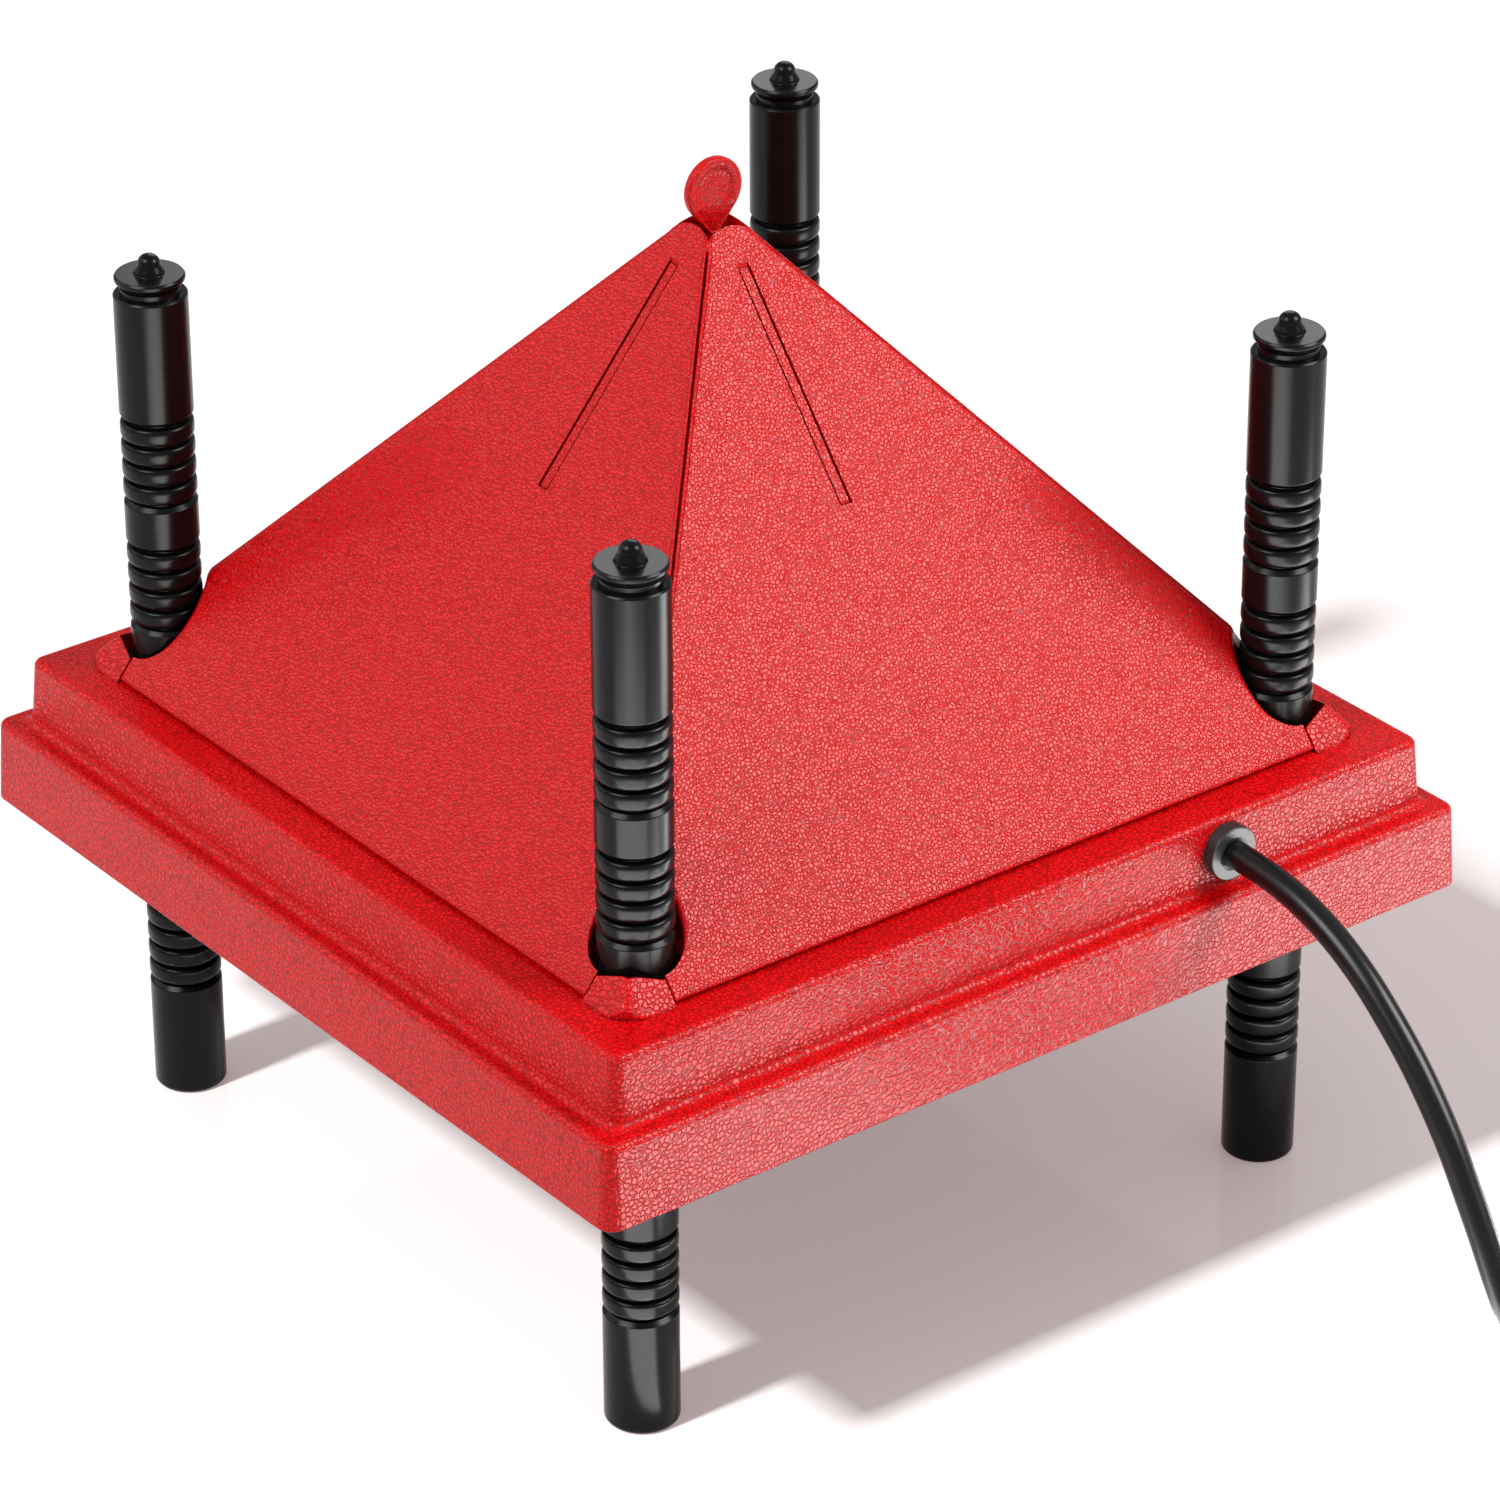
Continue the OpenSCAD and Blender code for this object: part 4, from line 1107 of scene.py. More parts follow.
@dataclass
class LiftTab:
    """Lift tab at the peak: a dished drop, its neck, and the hub that clips the panels' tips.

    Attributes:
        sizes: shared sizes.
        rise: height of the drop's middle above the peak.
        radius: radius of the drop.
        half: half thickness of its rim.
        dish: depth of its dish.
        edge_r: radius of its edge.
        point: distance below its middle at which its sides would meet.
        end: distance below its middle at which it ends.
        rings: distances of the rings of its face from its rounded edge.
        dish_slope: distance from the edge at which the dish begins, and the run of its slope.
        sink_turn: angle from the neck at which the rim is level with the dish, and over which it rises.
        sink_run: run over which the level rim begins at the edge.
        points: points round the drop.
        edge_points: points across its edge.
        neck_half: half width of the neck.
        neck_share: its thickness as a share of its width.
        neck_power: how square its section is.
        neck_drop: depths of its ends below the peak.
        neck_points: points round the neck.
        hub_drop: depths of the hub's ends below the peak.
        hub_gap: clearance between the hub and the panels.
    """

    sizes: Sizes
    rise: float = 2.3
    radius: float = 9.2
    half: float = 1.5
    dish: float = 1.1
    edge_r: float = 0.9
    point: float = 14.6
    end: float = 13.2
    rings: tuple[float, ...] = (0.3, 0.8, 1.2, 1.6, 2.0, 2.4, 2.9, 3.7, 4.7)
    dish_slope: tuple[float, float] = (1.8, 2.4)
    sink_turn: tuple[float, float] = (20.0, 45.0)
    sink_run: float = 1.2
    points: int = 96
    edge_points: int = 7
    neck_half: float = 1.3
    neck_share: float = 0.5
    neck_power: float = 4.0
    neck_drop: tuple[float, float] = (16.0, 8.0)
    neck_points: int = 40
    hub_drop: tuple[float, float] = (29.0, 15.0)
    hub_gap: float = 0.05

    def face(self) -> np.ndarray:
        """Gives one face of the drop as rings of x, thickness and z about its middle.

        Round the top the outline is a circle. Past the place where a line from the point below touches
        it, the outline follows that line. The thickness falls from the rim to the dish by a smooth step
        of the distance from the edge, and the rim sinks to the dish towards the neck.

        Returns:
            Rings from the edge to the middle, as rows by angles by three.
        """
        a = round_angles(self.points)[None, :] - math.pi
        down = math.pi - np.abs(a)
        touch = math.acos(self.radius / self.point)
        reach = self.radius / np.cos(np.clip(touch - down, 0, None))
        reach = np.minimum(reach, self.end / np.cos(np.minimum(down, touch)))
        bend = quarter_angles(self.edge_points)[:, None]
        flat = np.array(self.rings)[:, None]
        away = np.concatenate([self.edge_r * (1 - np.cos(bend)), self.edge_r + flat])
        sink = np.concatenate([self.edge_r * (1 - np.sin(bend)), 0 * flat])
        start, run = self.dish_slope
        hollow = self.dish * eased((away - start) / run)
        level, turn = np.radians(self.sink_turn)
        fade = self.dish * eased(1 - (down - level) / turn)
        thick = self.half - sink - np.maximum(hollow, fade * np.clip(away / self.sink_run, 0, 1))
        middle = np.zeros((1, self.points))
        r = np.concatenate([np.maximum(reach - away, 0), middle])
        thick = np.concatenate([thick, middle + self.half - self.dish])
        return np.stack([r * np.sin(a), thick, r * np.cos(a)], axis=2)

    def drop(self) -> Skin:
        """Builds the drop from its two faces.

        Returns:
            The closed drop.
        """
        face = self.face()
        sides = grid(np.concatenate([face[::-1], face * [1, -1, 1]]), wrap_cols=True)
        return sides.placed(basis((1, 0, 0), (0, -1, 0), (0, 0, 1)), (0, 0, self.sizes.apex_z + self.rise))

    def neck(self) -> Skin:
        """Builds the neck: a flat bar that the drop's point runs into.

        Returns:
            The closed neck.
        """
        half = np.full((2, 1), self.neck_half)
        plan = squared(round_angles(self.neck_points)[None, :], half, half * self.neck_share, self.neck_power)
        return lofted(plan, self.sizes.apex_z - np.array(self.neck_drop))

    def hub(self) -> Skin:
        """Builds the hub: a blunt pyramid just under the panels.

        Returns:
            The closed hub.
        """
        s = self.sizes
        z = s.apex_z - np.array(self.hub_drop)
        half = (s.apex_z - s.panel_drop - z) / s.slope - self.hub_gap
        return lofted(half[:, None, None] * np.array([[1, 1], [-1, 1], [-1, -1], [1, -1]]), z)

    def build(self) -> None:
        """Builds the tab as one piece that stands for its solid."""
        make("lift_tab", joined([self.drop(), self.neck(), self.hub()]), FINE_ABS, "cover", ["apex_clip"])


@dataclass
class Leg:
    """Ribbed leg with its cap and foot plug.

    Attributes:
        sizes: shared sizes.
        stem_r: radius at the bottom of the grooves, and of the cap's neck.
        bore_r: radius of the leg's bore.
        groove_z: height of the lowest groove.
        rib_pitch: spacing of grooves in a group.
        ribs: ribs in a group.
        groups: groups of ribs.
        group_pitch: spacing of the groups.
        rib_flat: flat floor between two ribs.
        rib_power: how flat a rib's top is, 2 for a half round.
        rib_points: points across a rib.
        barrel_top: height of the top of the plain barrel.
        bevel: bevel at the ends of each plain band.
        top_bevel: bevel at the top of the barrel.
        bevel_r: radii at the inner and the outer end of a bevel.
        bevel_share: radius at the outer end of a band's upper bevel, as a share of it.
        foot_r: radius of the leg's lower edge.
        cap_sink: depth of the cap in the barrel.
        neck: height of the cap's neck over the barrel, and the radius at its top.
        flange: inset, height over the barrel and rounding of each corner of the cap's flange.
        nub: radius, height over the barrel and rounding of each corner of the nub, up to its dome.
        dome_h: height of that dome.
        dome_points: points on the dome.
        plug_h: height of the foot plug.
        plug_dish: inner and outer radius of the slope round the plug's dish, and its depth.
        plug_r: radii at the corners of the plug, from the dish out and up.
        sides: points round the leg and its cap.
        plug_sides: points round the plug.
    """

    sizes: Sizes
    stem_r: float = 8.6
    bore_r: float = 5.0
    groove_z: float = 36.3
    rib_pitch: float = 6.1
    ribs: int = 4
    groups: int = 5
    group_pitch: float = 39.1
    rib_flat: float = 0.9
    rib_power: float = 3.6
    rib_points: int = 17
    barrel_top: float = 255.1
    bevel: float = 1.2
    top_bevel: float = 0.5
    bevel_r: tuple[float, float] = (0.15, 0.5)
    bevel_share: float = 0.4
    foot_r: float = 1.5
    cap_sink: float = 2.0
    neck: tuple[float, float] = (1.9, 0.5)
    flange: tuple[tuple[float, float, float], ...] = ((0.5, 4.1, 0.4), (0.5, 5.0, 0.2), (1.0, 5.6, 0.25))
    nub: tuple[tuple[float, float, float], ...] = (
        (4.4, 5.6, 0.3), (4.1, 6.6, 0.5), (3.4, 8.1, 1.0), (3.2, 8.7, 0.0),
    )
    dome_h: float = 2.7
    dome_points: int = 10
    plug_h: float = 8.0
    plug_dish: tuple[float, float, float] = (2.0, 2.4, 1.0)
    plug_r: tuple[float, float, float, float] = (0.5, 0.3, 0.4, 0.3)
    sides: int = 72
    plug_sides: int = 40

    def band(self, low: float, high: float, end: float) -> np.ndarray:
        """Draws a plain band's outside, with a rounded bevel at each end.

        Args:
            low: height of its lower end.
            high: height of its upper end.
            end: bevel of the upper end.

        Returns:
            Points of the line.
        """
        r, b = self.sizes.leg_r, self.bevel
        inner_r, outer_r = self.bevel_r
        return rounded([
            (self.stem_r, low, 0), (r - b, low, inner_r), (r, low + b, outer_r),
            (r, high - end, end * self.bevel_share), (r - end, high, inner_r), (self.stem_r, high, 0),
        ], steps=4, guard=0.06)

    def rib(self, middle: float) -> np.ndarray:
        """Draws one rib: its height over the groove's floor is (1 - |u|^p)^(1/p), flatter than a half round.

        Args:
            middle: height of the rib's middle.

        Returns:
            Points of the line.
        """
        half = (self.rib_pitch - self.rib_flat) / 2
        deep = self.sizes.leg_r - self.stem_r
        u = np.sin(np.linspace(-math.pi / 2, math.pi / 2, self.rib_points))
        over = (1 - np.abs(u) ** self.rib_power) ** (1 / self.rib_power)
        return np.column_stack([self.stem_r + deep * over, middle + half * u])

    def line(self) -> np.ndarray:
        """Draws the leg's whole outside, from its bore at the foot to its bore at the top.

        Returns:
            Points of the line.
        """
        r, flat = self.sizes.leg_r, self.rib_flat / 2
        inner_r, outer_r = self.bevel_r
        low = self.groove_z - flat
        parts = [rounded([
            (self.bore_r, 0, 0), (r, 0, self.foot_r), (r, low - self.bevel, outer_r),
            (r - self.bevel, low, inner_r), (self.stem_r, low, 0),
        ], steps=6, guard=0.08)]
        span = self.ribs * self.rib_pitch
        for g in range(self.groups):
            start = self.groove_z + g * self.group_pitch
            parts += [self.rib(start + (k + 0.5) * self.rib_pitch) for k in range(self.ribs)]
            last = g == self.groups - 1
            end = self.barrel_top if last else start + self.group_pitch - flat
            parts.append(self.band(start + span + flat, end, self.top_bevel if last else self.bevel))
        return np.concatenate(parts + [np.array([[self.bore_r, self.barrel_top]])])

    def cap_line(self) -> np.ndarray:
        """Draws the cap: neck, flange with a sloping underside, and the nub with its dome on top.

        Returns:
            Points of the line.
        """
        z, low = self.barrel_top, self.barrel_top - self.cap_sink
        neck_h, neck_r = self.neck
        corners = [(0, low, 0), (self.stem_r, low, 0), (self.stem_r, z + neck_h, neck_r)]
        corners += [(self.sizes.leg_r - inset, z + h, r) for inset, h, r in self.flange]
        corners += [(wide, z + h, r) for wide, h, r in self.nub]
        a = quarter_angles(self.dome_points)[1:]
        wide, h, _ = self.nub[-1]
        dome = np.column_stack([wide * np.cos(a), z + h + self.dome_h * np.sin(a)])
        return np.concatenate([rounded(corners, steps=6, guard=0.04), dome])

    def foot_line(self) -> np.ndarray:
        """Draws the rubber plug in the foot: a dished face with a rounded rim.

        Returns:
            Points of the line.
        """
        inner, outer, deep = self.plug_dish
        places = [(inner, deep), (outer, 0), (self.bore_r, 0), (self.bore_r, self.plug_h)]
        corners = [(wide, h, r) for (wide, h), r in zip(places, self.plug_r)]
        return rounded([(0, deep, 0), *corners, (0, self.plug_h, 0)], steps=5, guard=0.05)

    def build(self) -> None:
        """Builds the four legs, each on its own body."""
        shank, cap = lathe(self.line(), self.sides), lathe(self.cap_line(), self.sides)
        foot = lathe(self.foot_line(), self.plug_sides)
        for name, sx, sy in self.sizes.corners:
            place = (sx * self.sizes.leg_x, sy * self.sizes.leg_x, 0)
            body = "leg_" + name
            make("leg_shank_" + name, shank.moved(place), GLOSS_ABS, body, ["leg_" + name])
            make("leg_top_" + name, cap.moved(place), GLOSS_ABS, body, ["cap_" + name])
            make("leg_plug_" + name, foot.moved(place), RUBBER, body, ["foot_" + name])


@dataclass
class Plug:
    """Moulded plug with a ringed relief, two blades and a round earth pin.

    Attributes:
        relief_l: length of the relief.
        relief_r: its radius where the lead enters it, and how much it grows.
        ring_pitch: spacing of its rings.
        ring_h: height of the wave that they are cut from.
        ring_cut: share of that wave at which its tops are cut flat.
        ring_margin: length without rings at each end.
        body_l: length of the grip.
        grip_r: radius of the grip at its waist, and at its face.
        grip_run: length over which it widens.
        grip_flat: how much narrower its sides are than its height, as a share.
        face_round: length and depth of the rounding at its face.
        relief_rows: sections along the relief.
        body_rows: sections along the grip.
        points: points round the grip.
        blade: half width, half thickness, length and squareness of a blade.
        earth: the same of the earth pin.
        blade_x: distance of each blade from the middle.
        earth_y: distance of the earth pin from the middle.
        pin_sink: depth of the pins in the grip.
        pin_taper: length of a pin's narrowed end, and how much it narrows, as a share.
        pin_points: points round a pin.
        end_rows: distances of the last sections from the end, of the grip and of a pin.
    """

    relief_l: float = 30.0
    relief_r: tuple[float, float] = (4.3, 4.4)
    ring_pitch: float = 4.2
    ring_h: float = 0.45
    ring_cut: float = 0.6
    ring_margin: float = 2.0
    body_l: float = 26.0
    grip_r: tuple[float, float] = (8.7, 12.9)
    grip_run: float = 8.0
    grip_flat: float = 0.12
    face_round: tuple[float, float] = (1.5, 1.4)
    relief_rows: int = 121
    body_rows: tuple[float, int] = (0.2, 40)
    points: int = 56
    blade: tuple[float, float, float, float] = (3.17, 0.75, 16.0, 8.0)
    earth: tuple[float, float, float, float] = (2.4, 2.4, 18.0, 2.0)
    blade_x: float = 6.35
    earth_y: float = 8.0
    pin_sink: float = 4.0
    pin_taper: tuple[float, float] = (1.5, 0.45)
    pin_points: int = 32
    end_rows: tuple[tuple[float, ...], tuple[float, ...]] = ((1.0, 0.4, 0.1, 0.0), (1.0, 0.5, 0.2, 0.0))

    def grip(self) -> Skin:
        """Builds the grip along Z: a ringed relief that swells into a waisted body with flattened sides.

        The relief is a cone plus a sine whose tops are cut flat. The body widens by a smooth step, and a
        quarter round closes it to its face.

        Returns:
            The closed grip.
        """
        whole = self.relief_l + self.body_l
        run, deep = self.face_round
        first, count = self.body_rows
        s = np.concatenate([
            np.linspace(0, self.relief_l, self.relief_rows),
            self.relief_l + np.linspace(first, self.body_l - run, count), whole - np.array(self.end_rows[0]),
        ])
        thin, grow = self.relief_r
        cone = thin + grow * np.clip(s / self.relief_l, 0, 1)
        wave = np.clip(np.sin(2 * math.pi * s / self.ring_pitch), -self.ring_cut, self.ring_cut)
        ringed = (s > self.ring_margin) * (s < self.relief_l - self.ring_margin)
        into = np.clip((s - self.relief_l) / self.grip_run, 0, 1)
        waist, wide = self.grip_r
        body = waist + (wide - waist) * eased(into)
        end = np.clip((s - (whole - run)) / run, 0, 1)
        radius = np.where(s < self.relief_l, cone + self.ring_h * wave * ringed, body)
        radius = (radius - deep * (1 - np.sqrt(1 - end**2)))[:, None]
        flat = 1 - self.grip_flat * into[:, None]
        return lofted(squared(round_angles(self.points)[None, :], radius * flat, radius, power=2.0), s)

    def pin(self, half_x: float, half_y: float, length: float, power: float) -> Skin:
        """Builds one pin along Z: a rounded bar whose end narrows.

        Args:
            half_x: half width.
            half_y: half thickness.
            length: length from the plug's face.
            power: how square its section is.

        Returns:
            The closed pin.
        """
        run, narrow = self.pin_taper
        s = np.concatenate([
            [-self.pin_sink], np.linspace(0, length - run, 4), length - np.array(self.end_rows[1]),
        ])
        near = np.clip((s - length + run) / run, 0, 1)[:, None]
        slim = 1 - narrow * near**2
        return lofted(squared(round_angles(self.pin_points)[None, :], half_x * slim, half_y * slim, power), s)

    def build(self, end: np.ndarray, heading: np.ndarray) -> list[bpy.types.Object]:
        """Builds the grip and the pins on the lead's end.

        Args:
            end: the lead's end in millimetres.
            heading: the way in which it points.

        Returns:
            The grip's piece and the pins' piece.
        """
        over = np.array([0.0, 0.0, -1.0])
        sideways = np.cross(heading, over)
        turn = basis(over, sideways, heading)
        grip = make("plug_grip", self.grip().placed(turn, end), PVC_SHEATH, "plate", ["plug_body"])
        face = end + heading * (self.relief_l + self.body_l)
        places = [face - sideways * self.blade_x, face + sideways * self.blade_x]
        pins = [self.pin(*self.blade).placed(turn, place) for place in places]
        pins.append(self.pin(*self.earth).placed(turn, face + over * self.earth_y))
        return [grip, make("plug_pin_set", joined(pins), BRASS, "plate", ["plug_pins"])]


@dataclass
class Lead:
    """Mains lead: grommet, the free stretch, the stored coil with its tie, and the plug.

    Attributes:
        plug: the plug on its end.
        wall_y: place of the wall's flat that the grommet sits on.
        x: place of the lead along the wall.
        z: height at which it leaves the wall.
        radius: radius of the lead.
        sides: points round the lead.
        coil_z: height of the coil's lower layer.
        coil_r: radius of the outermost turn.
        pitch: spacing of turns, and of the two layers.
        turns: turns in each layer.
        climb: turn over which the coil climbs to its upper layer, in degrees.
        coil_points: points along the coil.
        start_l: straight length before the coil.
        tail_l: straight length after it.
        tail_points: points along that.
        length: length of the whole lead, in metres; not used.
        route: distance out from the wall in metres, and height as a share of the whole drop.
        span_points: points between two places of the route.
        grommet_r: radius of the grommet, and of its flat face inside.
        grommet_y: depth of the grommet in the wall, and how far it stands out.
        grommet_edge: radius of the grommet's rim, and of its face's inner edge.
        grommet_dip: how far the face falls towards the lead.
        grommet_sides: points round the grommet.
        tie_half: half thickness of the tie's strap.
        tie_power: how square the strap and its loop are.
        tie_points: points round the strap and its loop.
    """

    plug: Plug = field(default_factory=Plug)
    wall_y: float = 141.378
    x: float = 68.0
    z: float = 127.5
    radius: float = 4.0
    sides: int = 20
    coil_z: float = 4.9
    coil_r: float = 57.5
    pitch: float = 8.6
    turns: float = 2.375
    climb: float = 180.0
    coil_points: int = 300
    start_l: float = 8.0
    tail_l: float = 46.0
    tail_points: int = 9
    length: float = 1.8
    route: tuple[tuple[float, float], ...] = (
        (-0.022, 1), (-0.008, 1), (0, 1), (0.008, 1), (0.0215, 0.992), (0.0345, 0.969), (0.0465, 0.931),
        (0.0575, 0.88), (0.0675, 0.818), (0.077, 0.75), (0.0855, 0.676), (0.0935, 0.595), (0.1005, 0.508),
        (0.1075, 0.419), (0.114, 0.331), (0.121, 0.246), (0.129, 0.165), (0.1385, 0.096), (0.1495, 0.043),
        (0.1615, 0.011), (0.1715, 0), (0.1795, 0),
    )
    span_points: int = 6
    grommet_r: tuple[float, float] = (8.0, 5.0)
    grommet_y: tuple[float, float] = (2.0, 3.6)
    grommet_edge: tuple[float, float] = (0.45, 0.3)
    grommet_dip: float = 0.3
    grommet_sides: int = 64
    tie_half: float = 0.45
    tie_power: tuple[float, float] = (6.0, 7.0)
    tie_points: tuple[int, int] = (16, 96)

    def free_path(self) -> np.ndarray:
        """Gives the free stretch: a smooth line through the route's points, in the upright plane of the exit.

        Returns:
            The stretch's points.
        """
        out, share = np.array(self.route).T
        height = self.coil_z + share * (self.z - self.coil_z)
        points = np.column_stack([np.full(len(out), self.x), -self.wall_y - out / MM, height])
        return smooth_path(points, self.span_points)

    def coil_path(self, start: np.ndarray) -> np.ndarray:
        """Gives the coil: a spiral in at the lower layer, a half turn that climbs, and a spiral out above.

        Args:
            start: end of the free stretch.

        Returns:
            The coil's points, then its straight tail.
        """
        sweep, climb = self.turns * 360, self.climb
        a = np.linspace(0, 2 * sweep + climb, self.coil_points)
        inner = self.coil_r - self.pitch * self.turns
        into = np.clip(a, 0, sweep) / 360
        out = np.clip(a - sweep - climb, 0, None) / 360
        dip = np.clip(np.minimum(a - sweep, sweep + climb - a), 0, None) / 360
        radius = np.where(a < sweep, self.coil_r - self.pitch * into, inner + self.pitch * (out - dip))
        rise = self.pitch * eased((a - sweep) / climb)
        angle = np.radians(180 + a)
        centre = start + np.array([self.coil_r, -self.start_l, 0])
        turns = centre + np.column_stack([radius * np.cos(angle), radius * np.sin(angle), rise])
        heading = np.array([-math.sin(angle[-1]), math.cos(angle[-1]), 0])
        tail = turns[-1] + np.linspace(0, self.tail_l, self.tail_points)[1:, None] * heading
        return np.concatenate([turns, tail])

    def build_cord(self) -> tuple[bpy.types.Object, np.ndarray]:
        """Builds the lead as one tube along its whole route.

        Returns:
            The piece, and its path in millimetres.
        """
        free = self.free_path()
        path = np.concatenate([free, self.coil_path(free[-1])])
        tangent = unit(np.gradient(path, axis=0))
        flat = np.cross(tangent, np.array([0.0, 0.0, 1.0]))
        side = np.where(np.arange(len(path))[:, None] < len(free), np.array([-1.0, 0.0, 0.0]), flat)
        skin = tube(path, side, self.radius, self.sides)
        return make("mains_lead", skin, PVC_SHEATH, "plate", ["mains_cord", "cord_coil"]), path

    def grommet(self) -> Skin:
        """Builds the grommet: a flat disc with a thin rounded rim, turned about the lead.

        Returns:
            The closed grommet.
        """
        r, (wide, mouth), (deep, out) = self.radius, self.grommet_r, self.grommet_y
        rim_r, mouth_r = self.grommet_edge
        line = rounded([
            (r, -deep, 0), (wide, -deep, 0), (wide, out, rim_r), (mouth, out, mouth_r),
            (r, out - self.grommet_dip, 0), (r, -deep, 0),
        ], steps=6, guard=0.08)
        turn = basis((1, 0, 0), (0, 0, 1), (0, -1, 0))
        return lathe(line, self.grommet_sides).placed(turn, (self.x, -self.wall_y, self.z))

    def tie(self) -> Skin:
        """Builds the tie: a strap section carried round a rounded rectangle inside its solid's box.

        Returns:
            The closed tie.
        """
        low, high = (np.array(v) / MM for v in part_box("cord_tie"))
        middle, half = (low + high) / 2, (high - low) / 2
        across, along = (round_angles(count) for count in self.tie_points)
        strap_power, loop_power = self.tie_power
        section = squared(across[None, :], self.tie_half, half[1], strap_power)
        ring = squared(along[:, None], half[0] - self.tie_half, half[2] - self.tie_half, loop_power)
        ahead = unit(np.roll(ring, -1, axis=0) - np.roll(ring, 1, axis=0))
        normal = np.stack([ahead[..., 1], -ahead[..., 0]], axis=-1)
        place = ring + section[..., :1] * normal
        points = np.stack([place[..., 0], section[..., 1] + 0 * along[:, None], place[..., 1]], axis=-1)
        return grid(points, wrap_rows=True, wrap_cols=True).moved(middle)

    def build(self) -> None:
        cord, path = self.build_cord()
        make("lead_grommet", self.grommet(), RUBBER, "plate", ["cord_grommet"])
        carried = self.plug.build(path[-1], unit(path[-1] - path[-2]))
        carried.append(make("coil_tie", self.tie(), STRAP, "plate", ["cord_tie"]))


@dataclass
class Inside:
    """Solids that keep their own shape.

    Attributes:
        finishes: the finish of each of these solids.
    """

    finishes: dict[str, Finish] = field(default_factory=lambda: {
        "base_pan": PITTED_PP, "base_screws": ZINC_STEEL, "heat_spreader": MILL_ALUMINIUM,
        "heater_mat": SILICONE, "heater_trace": FOIL, "insulation_pad": WOOL, "thermostat": NYLON,
        "thermal_fuse": ZINC_STEEL, "terminal_block": NYLON, "cord_cores": BROWN_PVC,
        "lead_live": BROWN_PVC, "lead_link": BROWN_PVC, "lead_feed": BROWN_PVC,
        "lead_neutral": BLUE_PVC, "lead_earth": GREEN_PVC, "cord_clamp": PITTED_PP,
        "clamp_screws": ZINC_STEEL, "catch_front": PITTED_PP, "catch_right": PITTED_PP,
        "catch_back": PITTED_PP, "catch_left": PITTED_PP, "hip_splines": FINE_ABS,
    })

    def dress(self) -> None:
        """Gives each of these solids its finish."""
        for node, finish in self.finishes.items():
            for place in frame["nodes"][node].material_slots:
                place.material = material(finish)
            LOG.info("%s dressed as %s", node, finish.name)


# Studio


def stand(thing: bpy.types.Object, turn: np.ndarray, place: Sequence[float]) -> None:
    """Puts a camera or lamp into the scene.

    Args:
        thing: the camera or lamp.
        turn: three by three matrix of its axes.
        place: where it stands, in metres.
    """
    matrix = np.eye(4)
    matrix[:3, :3] = turn
    matrix[:3, 3] = place
    thing.matrix_world = Matrix(matrix.tolist())
    bpy.context.scene.collection.objects.link(thing)


@dataclass
class Camera:
    """The photograph's view.

    Attributes:
        azimuth: direction of the picture's right about Z, in degrees.
        elevation: height of the camera above the horizon, in degrees.
        roll: its tilt, in degrees.
        sensor: width of its sensor, in millimetres.
        lens: its focal length, in millimetres.
        distance: distance from what it looks at, in metres.
        aim_right: offset of what it looks at from the plate's middle, to the right, in metres.
        aim_up: the same, upwards in the picture.
        rise: height of the plate's underside, in metres.
        shift: shift of the frame as shares of its width.
        far: distance up to which it sees, in metres.
    """

    azimuth: float = -37.52
    elevation: float = 28.58
    roll: float = -0.232
    sensor: float = 36.0
    lens: float = 154.6
    distance: float = 1.848
    aim_right: float = 0.009216
    aim_up: float = 0.027363
    rise: float = 0.092
    shift: tuple[float, float] = (0.00067, -0.00567)
    far: float = 50.0

    def build(self) -> None:
        """Makes the camera and sets it as the scene's own."""
        az, el, tilt = (math.radians(v) for v in (self.azimuth, self.elevation, self.roll))
        right = np.array([math.cos(az), math.sin(az), 0.0])
        back = np.array([math.sin(az) * math.cos(el), -math.cos(az) * math.cos(el), math.sin(el)])
        up = np.cross(back, right)
        target = right * self.aim_right + up * self.aim_up + np.array([0, 0, self.rise])
        tilted_right = right * math.cos(tilt) + up * math.sin(tilt)
        tilted_up = up * math.cos(tilt) - right * math.sin(tilt)
        data = bpy.data.cameras.new("camera")
        data.sensor_width = self.sensor
        data.lens = self.lens
        data.shift_x, data.shift_y = self.shift
        data.clip_end = self.far
        camera = bpy.data.objects.new("camera", data)
        stand(camera, basis(tilted_right, tilted_up, back), target + back * self.distance)
        bpy.context.scene.camera = camera


class Reach(Enum):
    """Which pieces a lamp lights. The last two values are Blender's names for such a link."""

    ALL = "ALL"
    ONLY = "INCLUDE"
    ALL_BUT = "EXCLUDE"


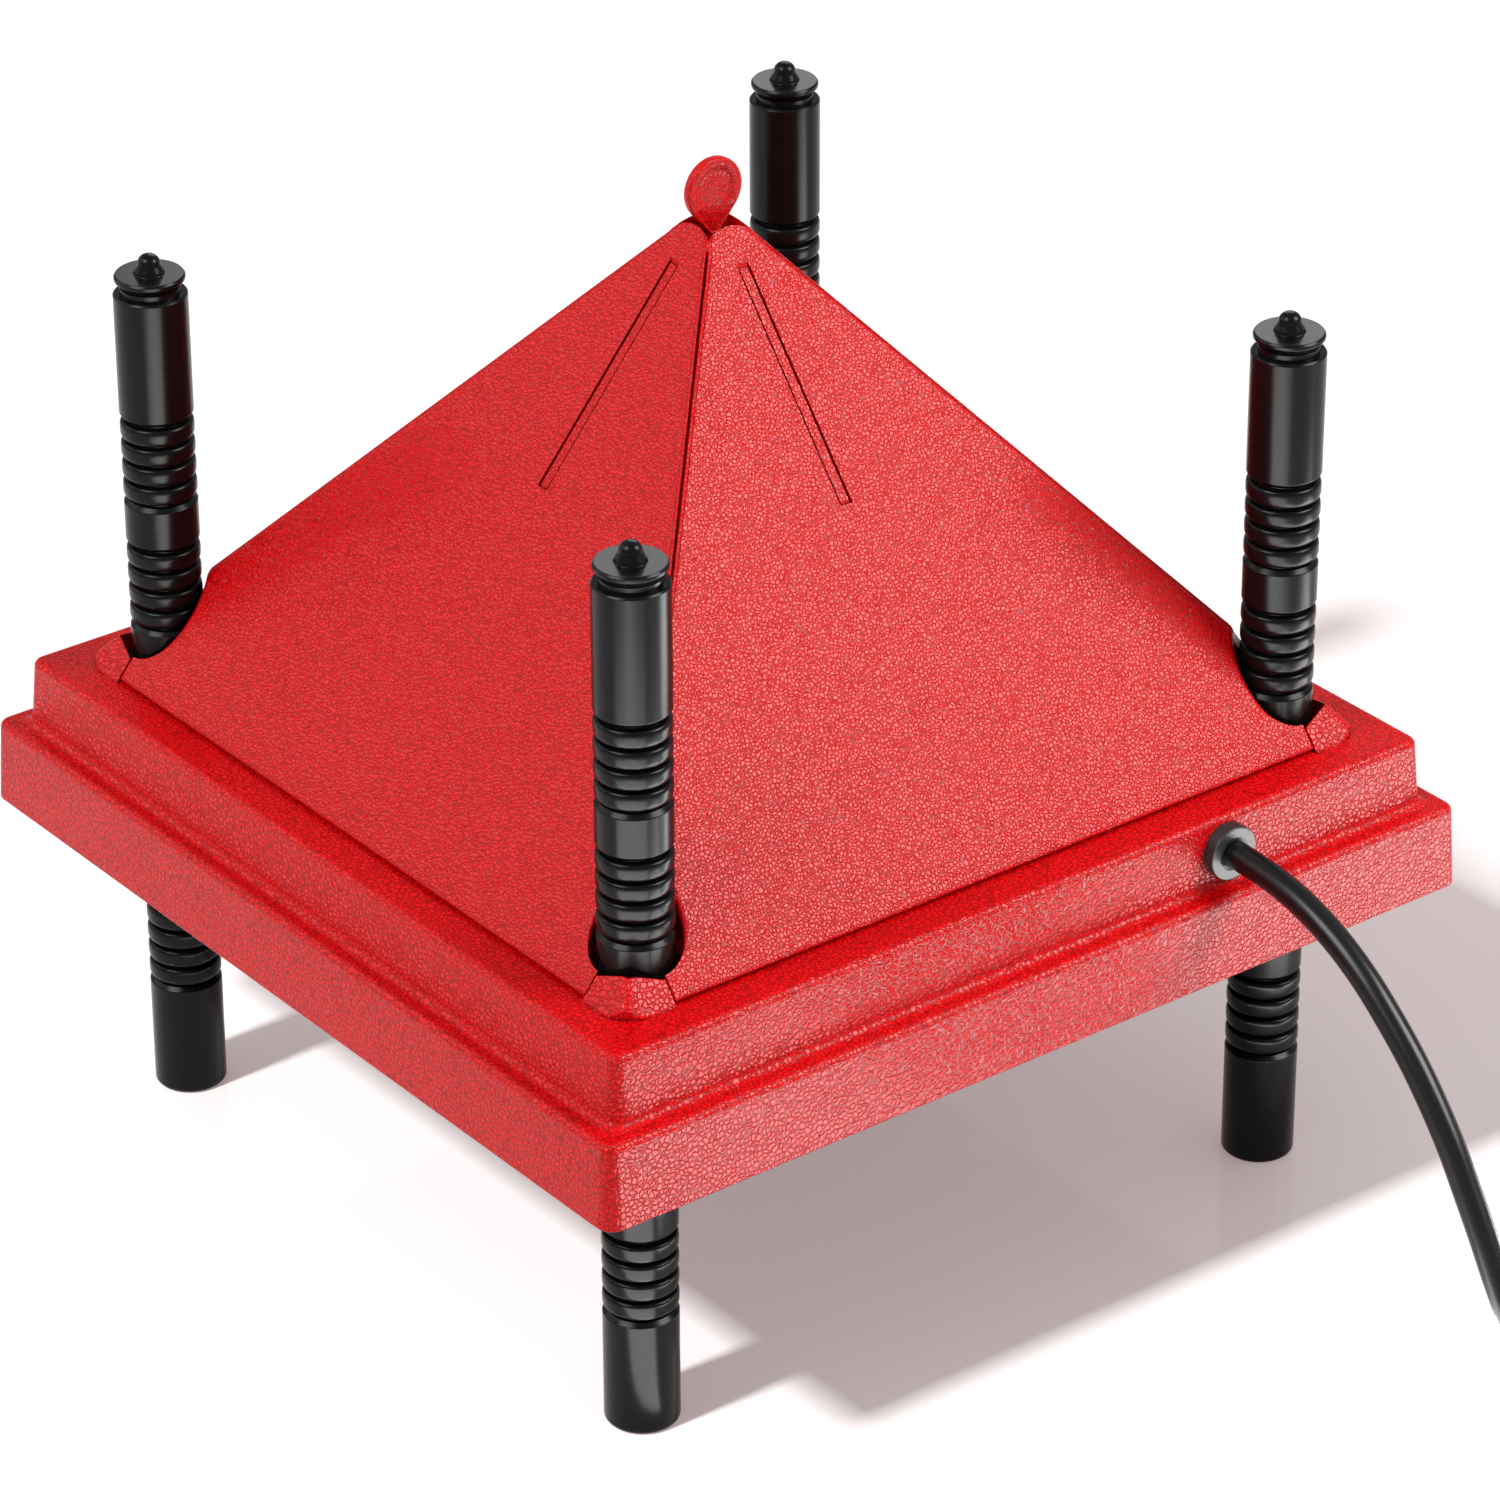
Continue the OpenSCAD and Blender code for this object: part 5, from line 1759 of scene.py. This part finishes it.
@dataclass
class Lamp:
    """One soft box, or a bright card that shows in the gloss alone.

    Attributes:
        name: its name.
        place: where it stands, in metres.
        size: width and height, in metres.
        power: its power in watts.
        aim: what it points at, in metres.
        reach: whether it lights all pieces, some only, or all but some.
        onto: how the names of those pieces begin.
        sheen: whether it gives highlights alone.
    """

    name: str
    place: tuple[float, float, float]
    size: tuple[float, float]
    power: float
    aim: tuple[float, float, float] = (0.0, 0.0, 0.13)
    reach: Reach = Reach.ALL
    onto: str = "floor"
    sheen: bool = False

    def build(self) -> None:
        """Makes the lamp, aims it and links it to its pieces."""
        data = bpy.data.lights.new(self.name, "AREA")
        data.shape = "RECTANGLE"
        data.size, data.size_y = self.size
        data.energy = self.power
        lamp = bpy.data.objects.new(self.name, data)
        back = unit(np.array(self.place) - np.array(self.aim))
        right = unit(np.cross((0, 0, 1), back))
        stand(lamp, basis(right, np.cross(back, right), back), self.place)
        lamp.visible_camera = False
        lamp.visible_diffuse = not self.sheen
        if self.reach is not Reach.ALL:
            group = bpy.data.collections.new(self.name + "_pieces")
            for piece in bpy.context.scene.objects:
                if piece.name.startswith(self.onto):
                    group.objects.link(piece)
            for link in group.collection_objects:
                link.light_linking.link_state = self.reach.value
            lamp.light_linking.receiver_collection = group


@dataclass
class Studio:
    """White floor, soft boxes and sky.

    Attributes:
        floor_half: half width of the floor, in metres.
        floor_colour: its colour.
        floor_roughness: its roughness.
        floor_specular: strength of its gloss.
        sky: strength of the sky as light.
        lift: glow that brings the seen floor up to white.
        lift_colour: colour of that glow, which warms the shadow.
        lamps: the soft boxes and cards. The cards that lie on the floor face up, with an aim that is a hair
            to one side, so that their turn is defined.
    """

    floor_half: float = 6.0
    floor_colour: str = "#F4F4F4"
    floor_roughness: float = 0.08
    floor_specular: float = 0.4
    sky: float = 0.42
    lift: float = 0.27
    lift_colour: str = "#FFDDDD"
    lamps: tuple[Lamp, ...] = (
        Lamp("shadow_left", (-4.98, 0.0, 5.58), (0.54, 0.54), 530.0, reach=Reach.ONLY),
        Lamp("soft_left", (-1.66, 0.0, 1.86), (1.2, 1.2), 41.0, reach=Reach.ALL_BUT),
        Lamp("soft_right", (1.02, -1.19, 1.35), (0.95, 1.0), 40.0, reach=Reach.ALL_BUT),
        Lamp("soft_back", (-1.2, 1.45, 1.09), (1.3, 1.3), 7.0, reach=Reach.ALL_BUT),
        Lamp("caps_back", (1.2, 1.2, 1.35), (1.2, 1.2), 13.0, reach=Reach.ONLY, onto="leg_top_", sheen=True),
        Lamp("table_right", (0.17, -0.32, 0.002), (0.5, 0.2), 3.8, (0.17, -0.3201, 0.3), sheen=True),
        Lamp(
            "table_front", (-0.31, -0.33, 0.002), (0.4, 0.4), 4.6, (-0.31, -0.3301, 0.3),
            reach=Reach.ONLY, onto="leg_", sheen=True,
        ),
    )

    def seen(self, tree: bpy.types.NodeTree) -> bpy.types.NodeSocket:
        """Adds the nodes that tell rays which show a surface from rays that only light others.

        Args:
            tree: the node tree.

        Returns:
            The output that is 1 for camera, glossy and transmission rays.
        """
        path = add(tree, "ShaderNodeLightPath", {}, {}).outputs
        greater = {"operation": "MAXIMUM"}
        shown = {0: path["Is Camera Ray"], 1: path["Is Glossy Ray"]}
        both = add(tree, "ShaderNodeMath", greater, shown).outputs[0]
        return add(tree, "ShaderNodeMath", greater, {0: both, 1: path["Is Transmission Ray"]}).outputs[0]

    def floor(self) -> None:
        """Makes the floor: white where it is lit, with a shadow and a faint reflection, clear from below."""
        h = self.floor_half
        mesh = bpy.data.meshes.new("floor")
        mesh.from_pydata([(-h, -h, 0), (h, -h, 0), (h, h, 0), (-h, h, 0)], [], [(0, 1, 2, 3)])
        made = bpy.data.materials.new("white_floor")
        tree = cleared(made)
        settings = {
            "Base Color": linear(self.floor_colour), "Roughness": self.floor_roughness,
            "Specular IOR Level": self.floor_specular,
        }
        shader = add(tree, "ShaderNodeBsdfPrincipled", settings, {})
        lift = add(tree, "ShaderNodeMath", {"operation": "MULTIPLY", 1: self.lift}, {0: self.seen(tree)})
        warm = linear(self.lift_colour)
        glow = add(tree, "ShaderNodeEmission", {"Color": warm}, {"Strength": lift.outputs[0]})
        both = add(tree, "ShaderNodeAddShader", {}, {0: shader.outputs[0], 1: glow.outputs[0]})
        behind = add(tree, "ShaderNodeNewGeometry", {}, {}).outputs["Backfacing"]
        clear = add(tree, "ShaderNodeBsdfTransparent", {}, {})
        sides = {0: behind, 1: both.outputs[0], 2: clear.outputs[0]}
        one_sided = add(tree, "ShaderNodeMixShader", {}, sides)
        add(tree, "ShaderNodeOutputMaterial", {}, {"Surface": one_sided.outputs[0]})
        mesh.materials.append(made)
        floor = bpy.data.objects.new("floor", mesh)
        bpy.context.scene.collection.objects.link(floor)

    def sky_light(self) -> None:
        """Sets a plain white sky."""
        world = bpy.data.worlds.new("studio")
        tree = cleared(world)
        light = add(tree, "ShaderNodeBackground", {"Color": (1, 1, 1, 1), "Strength": self.sky}, {})
        add(tree, "ShaderNodeOutputWorld", {}, {"Surface": light.outputs[0]})
        bpy.context.scene.world = world

    def build(self) -> None:
        """Makes the floor, the sky and the lamps."""
        self.floor()
        self.sky_light()
        for lamp in self.lamps:
            lamp.build()
        bpy.context.scene.view_settings.view_transform = "Standard"


def main() -> None:
    """Builds the view and the lead first, then the other sub-assemblies."""
    logging.basicConfig(level=logging.INFO, format="%(message)s")
    sizes = Sizes()
    Camera().build()
    Lead().build()
    Housing(sizes).build()
    Cover(sizes).build()
    LiftTab(sizes).build()
    Leg(sizes).build()
    Inside().dress()
    Studio().build()


if __name__ == "__main__":
    main()
